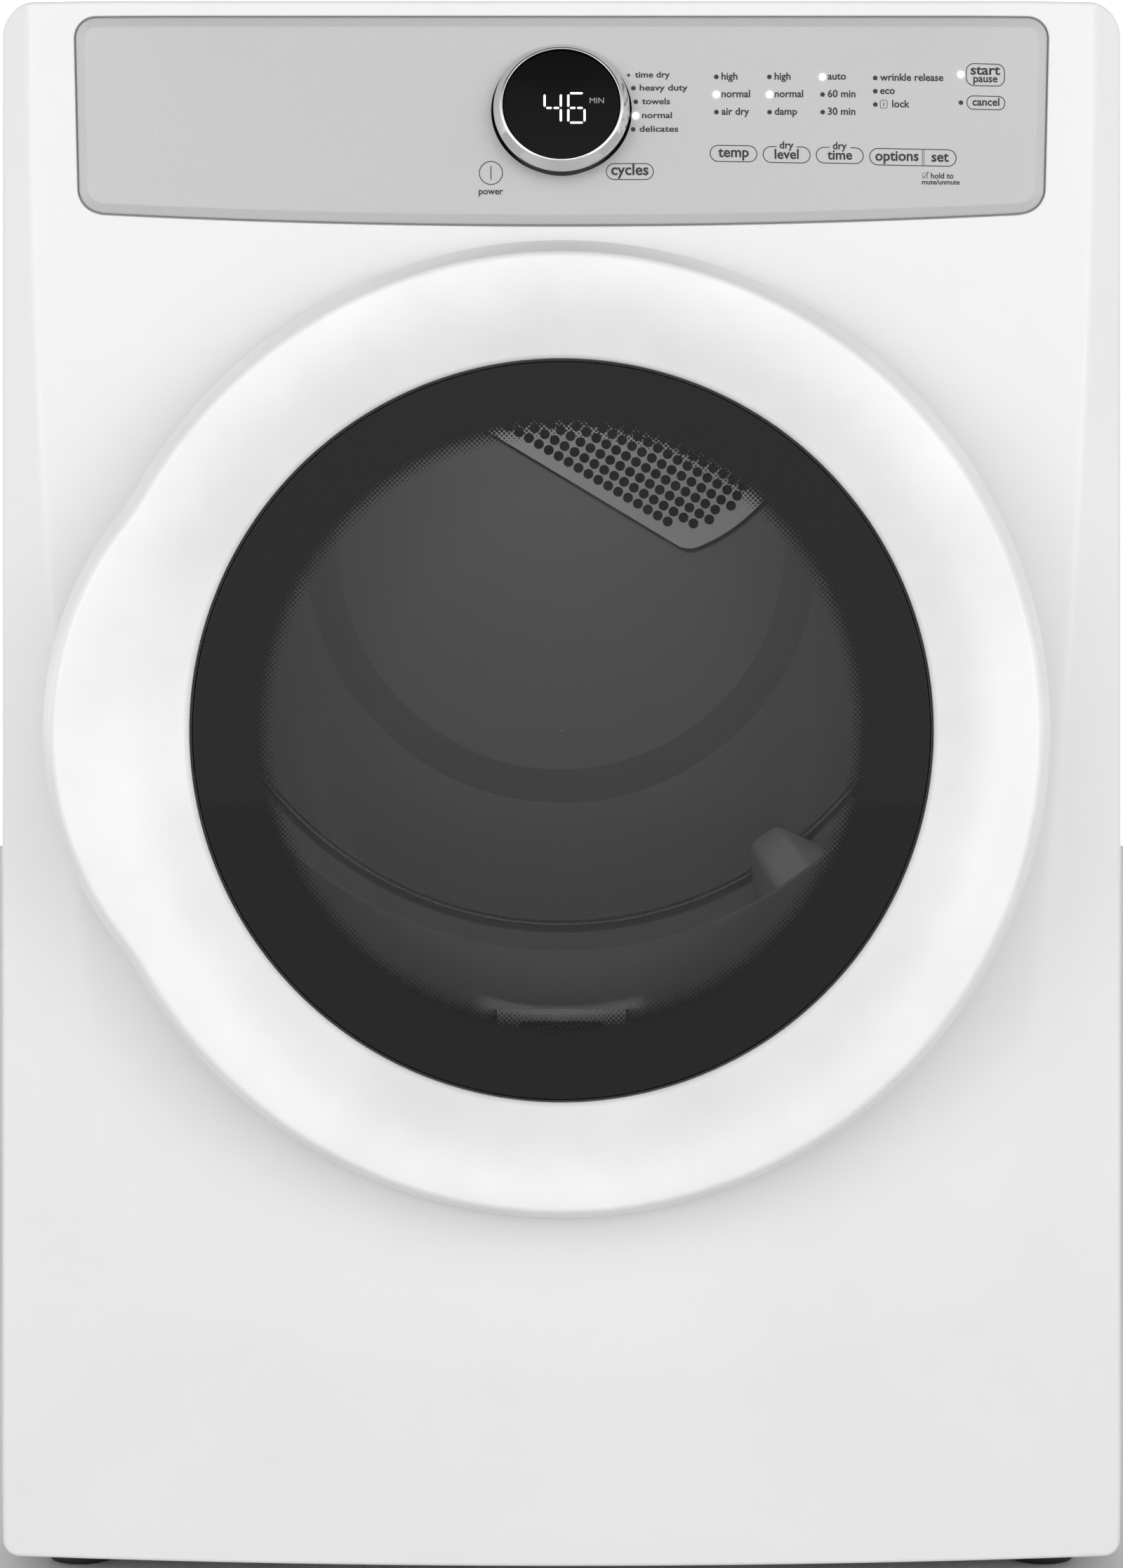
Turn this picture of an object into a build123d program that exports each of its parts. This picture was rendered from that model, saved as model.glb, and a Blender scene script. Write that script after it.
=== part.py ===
from build123d import *
import math
import os

# A vented front-loading clothes dryer. Millimetres, +Z up, the front faces -Y.
# The origin is the middle of the footprint, on the floor.

# ---- driving dimensions ----
WIDTH = 686.0
HEIGHT = 965.0
HALF = WIDTH / 2
SHEET = 1.0               # steel panel thickness
GAP = 0.3                 # working gap between bodies

# front panel
PANEL_LOW = 13.0          # underside of the cabinet above the floor
PANEL_EDGE_Y = -306.0     # front panel at its side edges
PANEL_MID_Y = -337.0      # front panel on the centre line
PANEL_BOW = 20.0          # bow of the middle zone over the full width
PANEL_RETURN_Y = -292.0   # rear edge of the panel's returns
LEAN_START_Z = 835.0      # above this height the panel leans back
LEAN_DEG = 5.5
SKIRT_MID_Y = -328.0      # bottom edge of the panel on the centre line
SKIRT_BOW = 26.0          # bow of that edge over the full width
SKIRT_SLOPE = 9.0 / 117.0  # forward step per height of the skirt below the crease
TOP_CORNER_R = 20.0
BOTTOM_CORNER_R = 10.0

# door
DOOR_Z = 523.0
RIM_R = 294.0
LOBE_R = 206.8            # handle lobe on the left of the rim
LOBE_SHIFT = 105.0
LOBE_FILLET = 150.0
DOOR_FRONT_Y = -400.0
DOOR_BACK_Y = -341.0
SEAT_Y = -335.0           # flat seat on the front panel, behind the door
SEAT_R = 286.0
OPENING_R = 205.0
GLASS_R = 221.5
GLASS_Y = -373.0
BOWL_BACK_Y = -285.0
HINGE_X = 281.0
HINGE_Y = -358.0
PIN_R = 2.5
CATCH_X = -262.0
SWITCH_X = -175.0
SWITCH_Z = DOOR_Z + 175.0
RUNNING_FIT = 0.05

# drum and its supports
DRUM_Z = 634.0
DRUM_R = 312.0
DRUM_FRONT_Y = -240.0
DRUM_REAR_Y = 322.0
FRONT_LIP_R = 262.0
REAR_LIP_R = 290.0
FRONT_WALL_Y = -250.0     # front bulkhead plate
REAR_WALL_Y = 330.0       # rear bulkhead plate
BAFFLE_ANGLES = (-35.0, 85.0, 205.0)  # from straight down, positive to the left
DISC_R = 197.0            # raised disc in the rear bulkhead
DISC_Y = 324.0
DISC_SLOPE = 26.0         # width of the raised disc's sloping border
ROLLER_R = 35.0
ROLLER_Y = 290.0
ROLLER_ANGLE = 38.0       # from straight down
AXLE_R = 6.0

# motor, blower and belt
MOTOR_X = -110.0
MOTOR_Z = 140.0
MOTOR_R = 60.0
MOTOR_CORE_R = 32.0       # outside of the rotor inside the can
SHAFT_R = 6.0
BELT_Y = 112.0
BELT_WIDTH = 8.0
BELT_THICK = 2.0
PULLEY_R = 12.0
IDLER_X = -20.0
IDLER_Z = 175.0
IDLER_R = 22.0
ARM_PIVOT_X = -75.0
ARM_PIVOT_Z = 60.0

# ducts
EXHAUST_X = 40.0
EXHAUST_Z = 95.0
EXHAUST_R = 50.8          # outside of the 4 inch collar
REAR_PANEL_Y = 372.0
SIDE_FRONT_Y = -289.5
SIDE_REAR_Y = 363.0       # rear edge of the side panels
REARMOST_Y = 400.0
FILTER_Y = (-272.0, -258.0)
LINT_DUCT_Y = (-288.0, -250.5)

# console
FASCIA_PROUD = 2.0
FASCIA_TOP_Z = 954.5
FASCIA_CORNER_Z = 836.5
FASCIA_BOTTOM_Z = 827.5
FASCIA_TOP_HALF = 296.0
FASCIA_BOTTOM_HALF = 294.0
DIAL_Z = 898.5
DIAL_Y = -342.0
DIAL_R = 42.0
DIAL_LENS_R = 35.3
DIAL_LEAN = 16.0

# grille in the rear bulkhead: a round plate cut by two parallel slanting edges
GRILLE_X = 58.0
GRILLE_Z = 752.0
GRILLE_R = 127.0
GRILLE_SLANT = -31.0
GRILLE_LOW = -84.5        # lower edge, from the round plate's centre
GRILLE_HIGH = 33.5
GRILLE_CORNER_R = 18.0
GRILLE_PITCH = 8.85
GRILLE_HOLE_R = 3.85
GRILLE_Y = 318.0

# feet
FOOT_X = 300.0
FOOT_Y = (-250.0, 330.0)
FOOT_R = 22.0
STEM_R = 5.0

CORD_HOLE = (-285.0, 120.0)
CORD_HOLE_R = 14.3

front_axis = (0, 1, 0)
parts = {}


# ---- shared shapes ----
def block(x0, x1, y0, y1, z0, z1):
    """A box between two corners."""
    centre = Pos((x0 + x1) / 2, (y0 + y1) / 2, (z0 + z1) / 2)
    return centre * Box(abs(x1 - x0), abs(y1 - y0), abs(z1 - z0))


def prism(sketch, y0, y1):
    """A sketch drawn in x and z, extended from y0 back to y1."""
    return extrude(Plane.XZ.offset(-y1) * sketch, amount=y1 - y0)


def disc(x, z, radius, y0, y1):
    """A round bar along y."""
    return prism(Pos(x, z) * Circle(radius), y0, y1)


def ring(x, z, outer, inner, y0, y1):
    """A round tube along y."""
    return prism(Pos(x, z) * (Circle(outer) - Circle(inner)), y0, y1)


def turned(points, z):
    """A solid turned about the front-to-back axis at height z, from (radius, y) points."""
    profile = make_face(Polyline(*points, close=True))
    return revolve(Pos(0, 0, z) * profile, Axis((0, 0, z), front_axis), 360)


def upright_bar(x, y, radius, z0, z1):
    """A round bar along z."""
    return Pos(x, y, (z0 + z1) / 2) * Cylinder(radius, z1 - z0)


def tray(x0, x1, y0, y1, z0, z1, wall, open_sides):
    """A thin box shell, open on the named sides."""
    sides = ("x0", "x1", "y0", "y1", "z0", "z1")
    grow = {side: (wall if side in open_sides else -wall) for side in sides}
    hollow = block(x0 - grow["x0"], x1 + grow["x1"], y0 - grow["y0"], y1 + grow["y1"],
                   z0 - grow["z0"], z1 + grow["z1"])
    return block(x0, x1, y0, y1, z0, z1) - hollow


# ---- cabinet ----
def cabinet_outline(inset):
    """Front view of the cabinet, with round corners."""
    left = -HALF + inset
    low = PANEL_LOW + inset
    high = HEIGHT - inset
    outline = Pos(0, (low + high) / 2) * Rectangle(-2 * left, high - low)
    top_corners = outline.vertices().sort_by(Axis.Y)[-2:]
    outline = fillet(top_corners, TOP_CORNER_R - inset)
    bottom_corners = outline.vertices().sort_by(Axis.Y)[:2]
    return fillet(bottom_corners, BOTTOM_CORNER_R - inset)


def crease_inset(z):
    """Distance of the crease from the cabinet's side at height z."""
    return 18.0 + 51.0 * ((HEIGHT - z) / 750.0) ** 1.9


def panel_section(z):
    """Plan section of the front at height z: sloped sides and a bowed middle."""
    crease_x = HALF - crease_inset(z)
    crease_y = PANEL_MID_Y + PANEL_BOW * (crease_x / HALF) ** 2
    back_y = PANEL_RETURN_Y + 20.0
    middle = ThreePointArc((-crease_x, crease_y), (0, PANEL_MID_Y), (crease_x, crease_y))
    rest = Polyline((crease_x, crease_y), (HALF, PANEL_EDGE_Y), (HALF, back_y),
                    (-HALF, back_y), (-HALF, PANEL_EDGE_Y), (-crease_x, crease_y))
    return Plane.XY.offset(z) * make_face([middle, *rest.edges()])


def skirt_section(z):
    """Plan section of the slanting skirt's solid at height z."""
    middle_y = SKIRT_MID_Y - (z - PANEL_LOW) * SKIRT_SLOPE
    edge_y = middle_y + SKIRT_BOW
    back_y = PANEL_RETURN_Y + 20.0
    bow = ThreePointArc((-HALF, edge_y), (0, middle_y), (HALF, edge_y))
    rest = Polyline((HALF, edge_y), (HALF, back_y), (-HALF, back_y), (-HALF, edge_y))
    return Plane.XY.offset(z) * make_face([bow, *rest.edges()])


def front_block():
    """The whole front as a solid, before it is made hollow."""
    heights = [PANEL_LOW, 170.0, 330.0, 490.0, 650.0, 810.0, HEIGHT]
    body = loft([panel_section(z) for z in heights])
    lean = math.radians(LEAN_DEG)
    lean_plane = Plane(origin=(0, PANEL_MID_Y, LEAN_START_Z), z_dir=(0, -math.cos(lean), math.sin(lean)))
    body = split(body, bisect_by=lean_plane, keep=Keep.BOTTOM)
    skirt = loft([skirt_section(z) for z in (PANEL_LOW, HEIGHT)], ruled=True)
    return body & skirt


def fascia_outline(grow):
    """Console outline: straight top and sides, arched bottom, round corners."""
    top = FASCIA_TOP_Z
    side = Polyline((-FASCIA_BOTTOM_HALF, FASCIA_CORNER_Z), (-FASCIA_TOP_HALF, top),
                    (FASCIA_TOP_HALF, top), (FASCIA_BOTTOM_HALF, FASCIA_CORNER_Z))
    arch = ThreePointArc((FASCIA_BOTTOM_HALF, FASCIA_CORNER_Z), (0, FASCIA_BOTTOM_Z),
                         (-FASCIA_BOTTOM_HALF, FASCIA_CORNER_Z))
    outline = make_face([*side.edges(), arch])
    corners = outline.vertices().sort_by(Axis.Y)
    outline = fillet(corners[-2:], 12.0)
    corners = outline.vertices().sort_by(Axis.Y)
    low = [v for v in corners if abs(v.Y - FASCIA_CORNER_Z) < 0.5 and abs(v.X) > FASCIA_BOTTOM_HALF - 1]
    outline = fillet(low, 15.0)
    return offset(outline, grow) if grow else outline


def make_front_panel(front):
    """Pressed front panel with the door seat, door opening and console opening."""
    outer = front & prism(cabinet_outline(0), -420, PANEL_RETURN_Y)
    inner = (Pos(0, SHEET, 0) * front) & prism(cabinet_outline(SHEET), -420, PANEL_RETURN_Y + 10)
    outer = outer - disc(0, DOOR_Z, SEAT_R, -420, SEAT_Y) + disc(0, DOOR_Z, SEAT_R, SEAT_Y, -315)
    inner_seat_r = SEAT_R - SHEET
    inner = inner - disc(0, DOOR_Z, inner_seat_r, -420, SEAT_Y + SHEET)
    inner = inner + disc(0, DOOR_Z, inner_seat_r, SEAT_Y + SHEET, -314)
    panel = outer - inner
    panel -= disc(0, DOOR_Z, OPENING_R + 1.5, -420, -300)
    panel -= prism(fascia_outline(1.2), -420, -300)
    panel -= block(CATCH_X - 7, CATCH_X + 7, -345, -325, DOOR_Z - 11, DOOR_Z + 11)
    panel -= disc(SWITCH_X, SWITCH_Z, 4.4, -345, -325)
    return panel


def make_side_panel(side):
    """Flat side panel with inward flanges, side is -1 or 1."""
    low = 24
    high = 934
    inner = HALF - SHEET
    wall = block(inner, HALF, SIDE_FRONT_Y, SIDE_REAR_Y, low, high)
    front_flange = block(HALF - 16, inner, SIDE_FRONT_Y, SIDE_FRONT_Y + SHEET, low, high)
    rear_flange = block(HALF - 14, inner, SIDE_REAR_Y - SHEET, SIDE_REAR_Y, low, high)
    top_flange = block(HALF - 14, inner, SIDE_FRONT_Y, SIDE_REAR_Y, high - SHEET, high)
    bottom_flange = block(HALF - 4.5, inner, SIDE_FRONT_Y, SIDE_REAR_Y, low, low + SHEET)
    panel = wall + front_flange + rear_flange + top_flange + bottom_flange
    return panel if side > 0 else mirror(panel, about=Plane.YZ)


def make_top_panel():
    """Top panel with round side edges and turned-down skirts."""
    low = 934.5
    keep = block(-HALF, HALF, SIDE_FRONT_Y, REAR_PANEL_Y, low, HEIGHT)
    outer = prism(cabinet_outline(0), SIDE_FRONT_Y, REAR_PANEL_Y) & keep
    inner = prism(cabinet_outline(SHEET), SIDE_FRONT_Y + SHEET, REAR_PANEL_Y - SHEET)
    return outer - inner


def make_rear_panel():
    """Rear panel with rows of louvre slots, the exhaust hole and the cord entry."""
    through = (REAR_PANEL_Y - 5, REAR_PANEL_Y + 5)
    panel = tray(-HALF + 4, HALF - 4, REAR_PANEL_Y - 8, REAR_PANEL_Y, 30, 930, SHEET, ["y0"])
    slots = Sketch()
    for column in range(2):
        for row in range(9):
            centre = Pos(150 + 90 * column, 240 + 14 * row)
            slots += centre * SlotOverall(70, 5)
    panel -= prism(slots, *through)
    panel -= disc(EXHAUST_X, EXHAUST_Z, EXHAUST_R + 1.2, *through)
    panel -= disc(CORD_HOLE[0], CORD_HOLE[1], CORD_HOLE_R, *through)
    panel -= block(-325, -245, *through, 165, 265)
    for height in (330, 480, 630, 780):
        bead = prism(Pos(0, height) * SlotOverall(520, 16), REAR_PANEL_Y - 1, REAR_PANEL_Y + 1.2)
        hollow = prism(Pos(0, height) * SlotOverall(517, 13), REAR_PANEL_Y - 3, REAR_PANEL_Y)
        panel = panel + bead - hollow
    return panel


def make_base_pan():
    """Base pan with turned-up edges and bosses for the feet."""
    pan = tray(-HALF + 5, HALF - 5, -288, 361, 18, 44, 1.5, ["z1"])
    for x in (-FOOT_X, FOOT_X):
        for y in FOOT_Y:
            pan += upright_bar(x, y, 11, 18, 40)
            pan -= upright_bar(x, y, STEM_R + RUNNING_FIT, 10, 60)
    for x in (-200, 0, 200):
        pan += block(x - 15, x + 15, -286.6, -150, 15, 18)
        pan += block(x - 15, x + 15, 180, 359, 15, 18)
    return pan


def make_foot(x, y):
    """Levelling foot: rubber pad, hexagon and threaded stem."""
    profile = Polyline((0, 0), (FOOT_R - 3, 0), (FOOT_R, 3), (FOOT_R - 2, 7), (12, 9), (0, 9), close=True)
    pad = revolve(Plane.XZ * make_face(profile), Axis.Z, 360)
    hexagon = Pos(0, 0, 9) * extrude(RegularPolygon(9.5, 6), 4)
    stem = Pos(0, 0, 30) * Cylinder(STEM_R, 50)
    return Pos(x, y, 0) * (pad + hexagon + stem)


# ---- bulkheads and drum ----
def make_front_bulkhead():
    """Front wall of the drum space, with the throat behind the door and the drum's lip ring."""
    plate = block(-HALF + 18, HALF - 18, FRONT_WALL_Y, FRONT_WALL_Y + SHEET, 292, 925)
    hole = (Pos(0, DOOR_Z) * Circle(OPENING_R)) & (Pos(0, DRUM_Z) * Circle(FRONT_LIP_R - 6))
    plate -= prism(hole, -260, -240)
    throat = ring(0, DOOR_Z, OPENING_R + SHEET, OPENING_R, SEAT_Y + 1.5, FRONT_WALL_Y)
    flare = ring(0, DOOR_Z, OPENING_R + 12, OPENING_R, SEAT_Y + 1.5, SEAT_Y + 1.5 + SHEET)
    lip = ring(0, DRUM_Z, FRONT_LIP_R - 4, FRONT_LIP_R - 6, FRONT_WALL_Y, -229)
    slot = block(-103, 103, FILTER_Y[0] - 2, FILTER_Y[1] + 2, 300, 360)
    return plate + throat + flare + lip - slot


def make_rear_bulkhead():
    """Rear wall of the drum space: raised disc, drum lip ring and the air inlet opening."""
    plate = block(-HALF + 18, HALF - 18, REAR_WALL_Y, REAR_WALL_Y + SHEET, 160, 925)
    plate -= disc(0, DRUM_Z, DISC_R - SHEET, 320, 340)
    dish = turned([(0, DISC_Y), (DISC_R - DISC_SLOPE, DISC_Y), (DISC_R, REAR_WALL_Y),
                   (DISC_R, REAR_WALL_Y + SHEET), (DISC_R - SHEET, REAR_WALL_Y + SHEET),
                   (DISC_R - DISC_SLOPE - SHEET, DISC_Y + SHEET), (0, DISC_Y + SHEET)], DRUM_Z)
    lip = ring(0, DRUM_Z, REAR_LIP_R - 4, REAR_LIP_R - 6, 314, REAR_WALL_Y)
    wall = plate + dish + lip
    wall -= prism(grille_outline(0), 310, 340)
    for x, z in roller_centres():
        wall -= disc(x, z, AXLE_R, 325, 335)
    return wall


def roller_centres():
    """Centres of the two drum rollers."""
    reach = DRUM_R + GAP + ROLLER_R
    angle = math.radians(ROLLER_ANGLE)
    z = DRUM_Z - reach * math.cos(angle)
    return [(-reach * math.sin(angle), z), (reach * math.sin(angle), z)]


def grille_outline(inset):
    """Round plate cut by two parallel slanting edges, shrunk by inset."""
    band_low = GRILLE_LOW + inset
    band_high = GRILLE_HIGH - inset
    band = Pos(0, (band_low + band_high) / 2) * Rectangle(4 * GRILLE_R, band_high - band_low)
    outline = Circle(GRILLE_R - inset) & band
    outline = fillet(outline.vertices(), GRILLE_CORNER_R - inset)
    return Pos(GRILLE_X, GRILLE_Z) * Rot(Z=GRILLE_SLANT) * outline


def make_grille():
    """Perforated air inlet plate with a turned-back rim."""
    face = grille_outline(0)
    holes = []
    steps = int(GRILLE_R / GRILLE_PITCH) + 1
    margin = 8.0 + GRILLE_HOLE_R
    first_row = GRILLE_LOW + margin
    rows = int((GRILLE_HIGH - GRILLE_LOW - 2 * margin) / GRILLE_PITCH) + 1
    for row in range(rows):
        v = first_row + row * GRILLE_PITCH
        for column in range(-steps, steps + 1):
            u = column * GRILLE_PITCH
            corner = v < first_row + GRILLE_PITCH / 2 and math.hypot(u, v) > GRILLE_R - margin - GRILLE_PITCH
            if math.hypot(u, v) < GRILLE_R - margin and not corner:
                place = Pos(GRILLE_X, GRILLE_Z) * Rot(Z=GRILLE_SLANT) * Pos(u, v)
                holes.append(place * Circle(GRILLE_HOLE_R))
    plate = prism(face - holes, GRILLE_Y, GRILLE_Y + 1.5)
    rim = prism(grille_outline(0) - grille_outline(1.5), GRILLE_Y + 1.5, REAR_WALL_Y + SHEET)
    return plate + rim


def make_drum_shell():
    """Rolled drum with pressed-in beads, its front lip and rear edge."""
    wall = 1.0
    bead = 3.0
    outer = [(FRONT_LIP_R, DRUM_FRONT_Y), (DRUM_R, DRUM_FRONT_Y)]
    inner = [(DRUM_R - wall, DRUM_FRONT_Y + wall), (FRONT_LIP_R, DRUM_FRONT_Y + wall)]
    for y in (-150.0, -20.0, 215.0):
        outer += [(DRUM_R, y - 9), (DRUM_R - bead, y - 4), (DRUM_R - bead, y + 4), (DRUM_R, y + 9)]
    outer += [(DRUM_R, DRUM_REAR_Y), (REAR_LIP_R, DRUM_REAR_Y)]
    rear = [(REAR_LIP_R, DRUM_REAR_Y - wall), (DRUM_R - wall, DRUM_REAR_Y - wall)]
    for y in (215.0, -20.0, -150.0):
        rear += [(DRUM_R - wall, y + 9.5), (DRUM_R - wall - bead, y + 4.5),
                 (DRUM_R - wall - bead, y - 4.5), (DRUM_R - wall, y - 9.5)]
    return turned(outer + rear + inner, DRUM_Z)


def make_drum_baffles():
    """Three hollow ridges that lift the clothes."""
    inside = disc(0, 0, DRUM_R - 4.2, -222, 304)
    profile = make_face(Polyline((-34, -DRUM_R), (-30, -DRUM_R + 14), (-12, -DRUM_R + 44), (12, -DRUM_R + 44),
                                 (30, -DRUM_R + 14), (34, -DRUM_R), close=True))
    profile = fillet(profile.vertices().sort_by(Axis.Y)[-2:], 10)
    ridge = prism(profile, -222, 304) & inside
    core = make_face(Polyline((-29, -DRUM_R), (-26, -DRUM_R + 14), (-9, -DRUM_R + 38), (9, -DRUM_R + 38),
                              (26, -DRUM_R + 14), (29, -DRUM_R), close=True))
    ridge -= prism(core, -218, 300)
    ridges = [Pos(0, 0, DRUM_Z) * Rot(Y=angle) * ridge for angle in BAFFLE_ANGLES]
    return Compound(children=ridges)


def make_roller(x, z):
    """Drum support roller: hub, web and rubber tread."""
    wheel = ring(x, z, ROLLER_R, AXLE_R + RUNNING_FIT, ROLLER_Y - 11, ROLLER_Y + 11)
    groove_front = ring(x, z, ROLLER_R - 8, 12, ROLLER_Y - 12, ROLLER_Y - 6)
    groove_rear = ring(x, z, ROLLER_R - 8, 12, ROLLER_Y + 6, ROLLER_Y + 12)
    return wheel - groove_front - groove_rear


def make_roller_axles():
    """Two axles fixed in the rear bulkhead, each with a shoulder and a retaining ring."""
    axles = []
    for x, z in roller_centres():
        axle = disc(x, z, AXLE_R, ROLLER_Y - 16, 340)
        axle += ring(x, z, 10, AXLE_R, ROLLER_Y + 12, REAR_WALL_Y)
        axle += ring(x, z, 9, AXLE_R, ROLLER_Y - 14, ROLLER_Y - 12)
        axle += ring(x, z, 11, AXLE_R, REAR_WALL_Y + SHEET, 337)
        axles.append(axle)
    return Compound(children=axles)


# ---- door ----
def door_outline(inset):
    """Door outline: a circle with the handle lobe blended in on the left, shrunk by inset."""
    rim = RIM_R - inset
    lobe = LOBE_R - inset
    blend = LOBE_FILLET + inset
    reach_rim = rim + blend
    reach_lobe = lobe + blend
    blend_x = -(reach_rim ** 2 - reach_lobe ** 2 + LOBE_SHIFT ** 2) / (2 * LOBE_SHIFT)
    blend_z = math.sqrt(reach_rim ** 2 - blend_x ** 2)
    rim_point = Vector(blend_x, blend_z) * (rim / reach_rim)
    lobe_centre = Vector(-LOBE_SHIFT, 0)
    blend_centre = Vector(blend_x, blend_z)
    lobe_point = lobe_centre + (blend_centre - lobe_centre) * (lobe / reach_lobe)
    inward = ((rim_point + lobe_point) * 0.5 - blend_centre).normalized()
    middle = blend_centre + inward * blend
    round_side = ThreePointArc((rim_point.X, rim_point.Y), (rim, 0), (rim_point.X, -rim_point.Y))
    lobe_end = (-LOBE_SHIFT - lobe, 0)
    lobe_side = ThreePointArc((lobe_point.X, lobe_point.Y), lobe_end, (lobe_point.X, -lobe_point.Y))
    blends = [ThreePointArc((rim_point.X, side * rim_point.Y), (middle.X, side * middle.Y),
                            (lobe_point.X, side * lobe_point.Y)) for side in (1, -1)]
    return Pos(0, DOOR_Z) * make_face([round_side, lobe_side, *blends])


def door_form(inset, front_y):
    """The door's outer form: straight edge, tapered side and round crest."""
    edge_y = -352.0
    back = prism(door_outline(inset), edge_y, DOOR_BACK_Y)
    face = Plane.XZ.offset(-edge_y) * door_outline(inset)
    side = extrude(face, amount=edge_y - front_y, taper=15)
    crest = side.faces().sort_by(Axis.Y)[0].edges()
    side = fillet(crest, 9)
    return back + side


def make_door_ring():
    """Door outer ring: a moulded shell with a funnel down to the glass."""
    outer = door_form(0, DOOR_FRONT_Y)
    funnel = turned([(0, GLASS_Y - 0.5), (GLASS_R + 0.5, GLASS_Y - 0.5), (266, DOOR_FRONT_Y + 2.2),
                     (274, DOOR_FRONT_Y), (274, -420), (0, -420)], DOOR_Z)
    outer -= funnel
    hollow = door_form(3, DOOR_FRONT_Y + 3) + prism(door_outline(3), DOOR_BACK_Y - 2, DOOR_BACK_Y + 2)
    funnel_back = turned([(0, GLASS_Y + 6), (GLASS_R + 2.5, GLASS_Y + 6), (GLASS_R + 2.5, GLASS_Y + 2.5),
                          (267, DOOR_FRONT_Y + 5.4), (275, DOOR_FRONT_Y + 3), (275, -420), (0, -420)], DOOR_Z)
    hollow -= funnel_back
    shell = outer - hollow
    shell -= disc(0, DOOR_Z, GLASS_R + 0.5, -420, GLASS_Y + 4)
    shell -= disc(0, DOOR_Z, GLASS_R - 10, -420, -330)
    return shell


def make_door_inner_panel():
    """Door back cover, notched for the hinge arm, with the bowl's collar."""
    cover_y = DOOR_BACK_Y - 4
    cover = prism(door_outline(3.4), cover_y, cover_y + 3.2)
    collar = ring(0, DOOR_Z, 211, 202.5, GLASS_Y + 6.2, cover_y)
    cover = cover + collar - disc(0, DOOR_Z, 202.5, -420, -330)
    cover -= block(244, 300, -380, -330, DOOR_Z - 11, DOOR_Z + 11)
    for x, z in door_screw_places():
        cover -= disc(x, z, 2.2, -350, -330)
        cover += ring(x, z, 5, 2.2, -362, cover_y)
    return cover


def door_screw_places():
    """Screws around the door's back."""
    angles = (20, 65, 115, 160, 200, 245, 295, 340)
    places = []
    for angle in angles:
        turn = math.radians(angle)
        places.append((262 * math.cos(turn), DOOR_Z + 262 * math.sin(turn)))
    return places


def make_door_window():
    """Glass bowl that keeps the clothes off the outer glass."""
    wall = 4.0
    back = BOWL_BACK_Y
    return turned([(0, back), (150, back), (164, back - 5), (172, back - 16), (196, -341), (202, -345),
                   (202, -349), (193, -345), (168, back - 18), (160, back - 9), (148, back - wall),
                   (0, back - wall)], DOOR_Z)


def make_hinge_leaf():
    """Cabinet hinge leaf: plate on the seat and a gooseneck arm round the pin."""
    plate = block(243, 272, SEAT_Y - 3, SEAT_Y, DOOR_Z - 38, DOOR_Z + 38)
    path = Polyline((250.5, SEAT_Y - 1), (250.5, -364), (258, -374), (268, -374), (HINGE_X, HINGE_Y))
    arm = extrude(Plane.XY.offset(DOOR_Z - 9) * trace(path, 5), 18)
    knuckle = upright_bar(HINGE_X, HINGE_Y, 5.5, DOOR_Z - 9, DOOR_Z + 9)
    leaf = plate + arm + knuckle
    return leaf - upright_bar(HINGE_X, HINGE_Y, PIN_R + RUNNING_FIT, DOOR_Z - 20, DOOR_Z + 20)


def make_hinge_brackets():
    """Two angle brackets inside the door that hold the hinge pin."""
    brackets = []
    for side in (-1, 1):
        lug_z = sorted((DOOR_Z + side * 10, DOOR_Z + side * 14))
        flange_z = sorted((DOOR_Z + side * 12, DOOR_Z + side * 30))
        lug = block(262, 281, -364, DOOR_BACK_Y - 4.2, *lug_z) + upright_bar(HINGE_X, HINGE_Y, 5.5, *lug_z)
        flange = block(262, 281, DOOR_BACK_Y - 5.4, DOOR_BACK_Y - 4.2, *flange_z)
        bracket = lug + flange - upright_bar(HINGE_X, HINGE_Y, PIN_R, DOOR_Z - 20, DOOR_Z + 20)
        brackets.append(bracket)
    return Compound(children=brackets)


def make_door_strike():
    """Hooked strike on the door's back."""
    base = block(CATCH_X - 9, CATCH_X + 9, DOOR_BACK_Y - 0.8, DOOR_BACK_Y + 0.7, DOOR_Z - 14, DOOR_Z + 14)
    tongue = block(CATCH_X - 1.5, CATCH_X + 1.5, DOOR_BACK_Y, -324, DOOR_Z - 4, DOOR_Z + 4)
    head = disc(CATCH_X, DOOR_Z, 3, -328, -324)
    return base + tongue + head


def make_door_catch():
    """Catch box behind the door seat."""
    body = block(CATCH_X - 14, CATCH_X + 14, SEAT_Y + SHEET, -314, DOOR_Z - 20, DOOR_Z + 20)
    return body - block(CATCH_X - 6.5, CATCH_X + 5, -340, -318, DOOR_Z - 10, DOOR_Z + 10)


def make_switch_body():
    """Door switch housing behind the seat."""
    body = block(SWITCH_X - 13, SWITCH_X + 13, SEAT_Y + SHEET, -306, SWITCH_Z - 9, SWITCH_Z + 9)
    cavity = disc(SWITCH_X, SWITCH_Z, 6.3, -332, -309)
    mouth = disc(SWITCH_X, SWITCH_Z, 4.3, -340, -325)
    return body - cavity - mouth


def make_switch_plunger():
    """Door switch plunger with its retaining collar."""
    stem = disc(SWITCH_X, SWITCH_Z, 4, DOOR_BACK_Y - 0.5, -312)
    return stem + disc(SWITCH_X, SWITCH_Z, 6, -325, -322)


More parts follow.
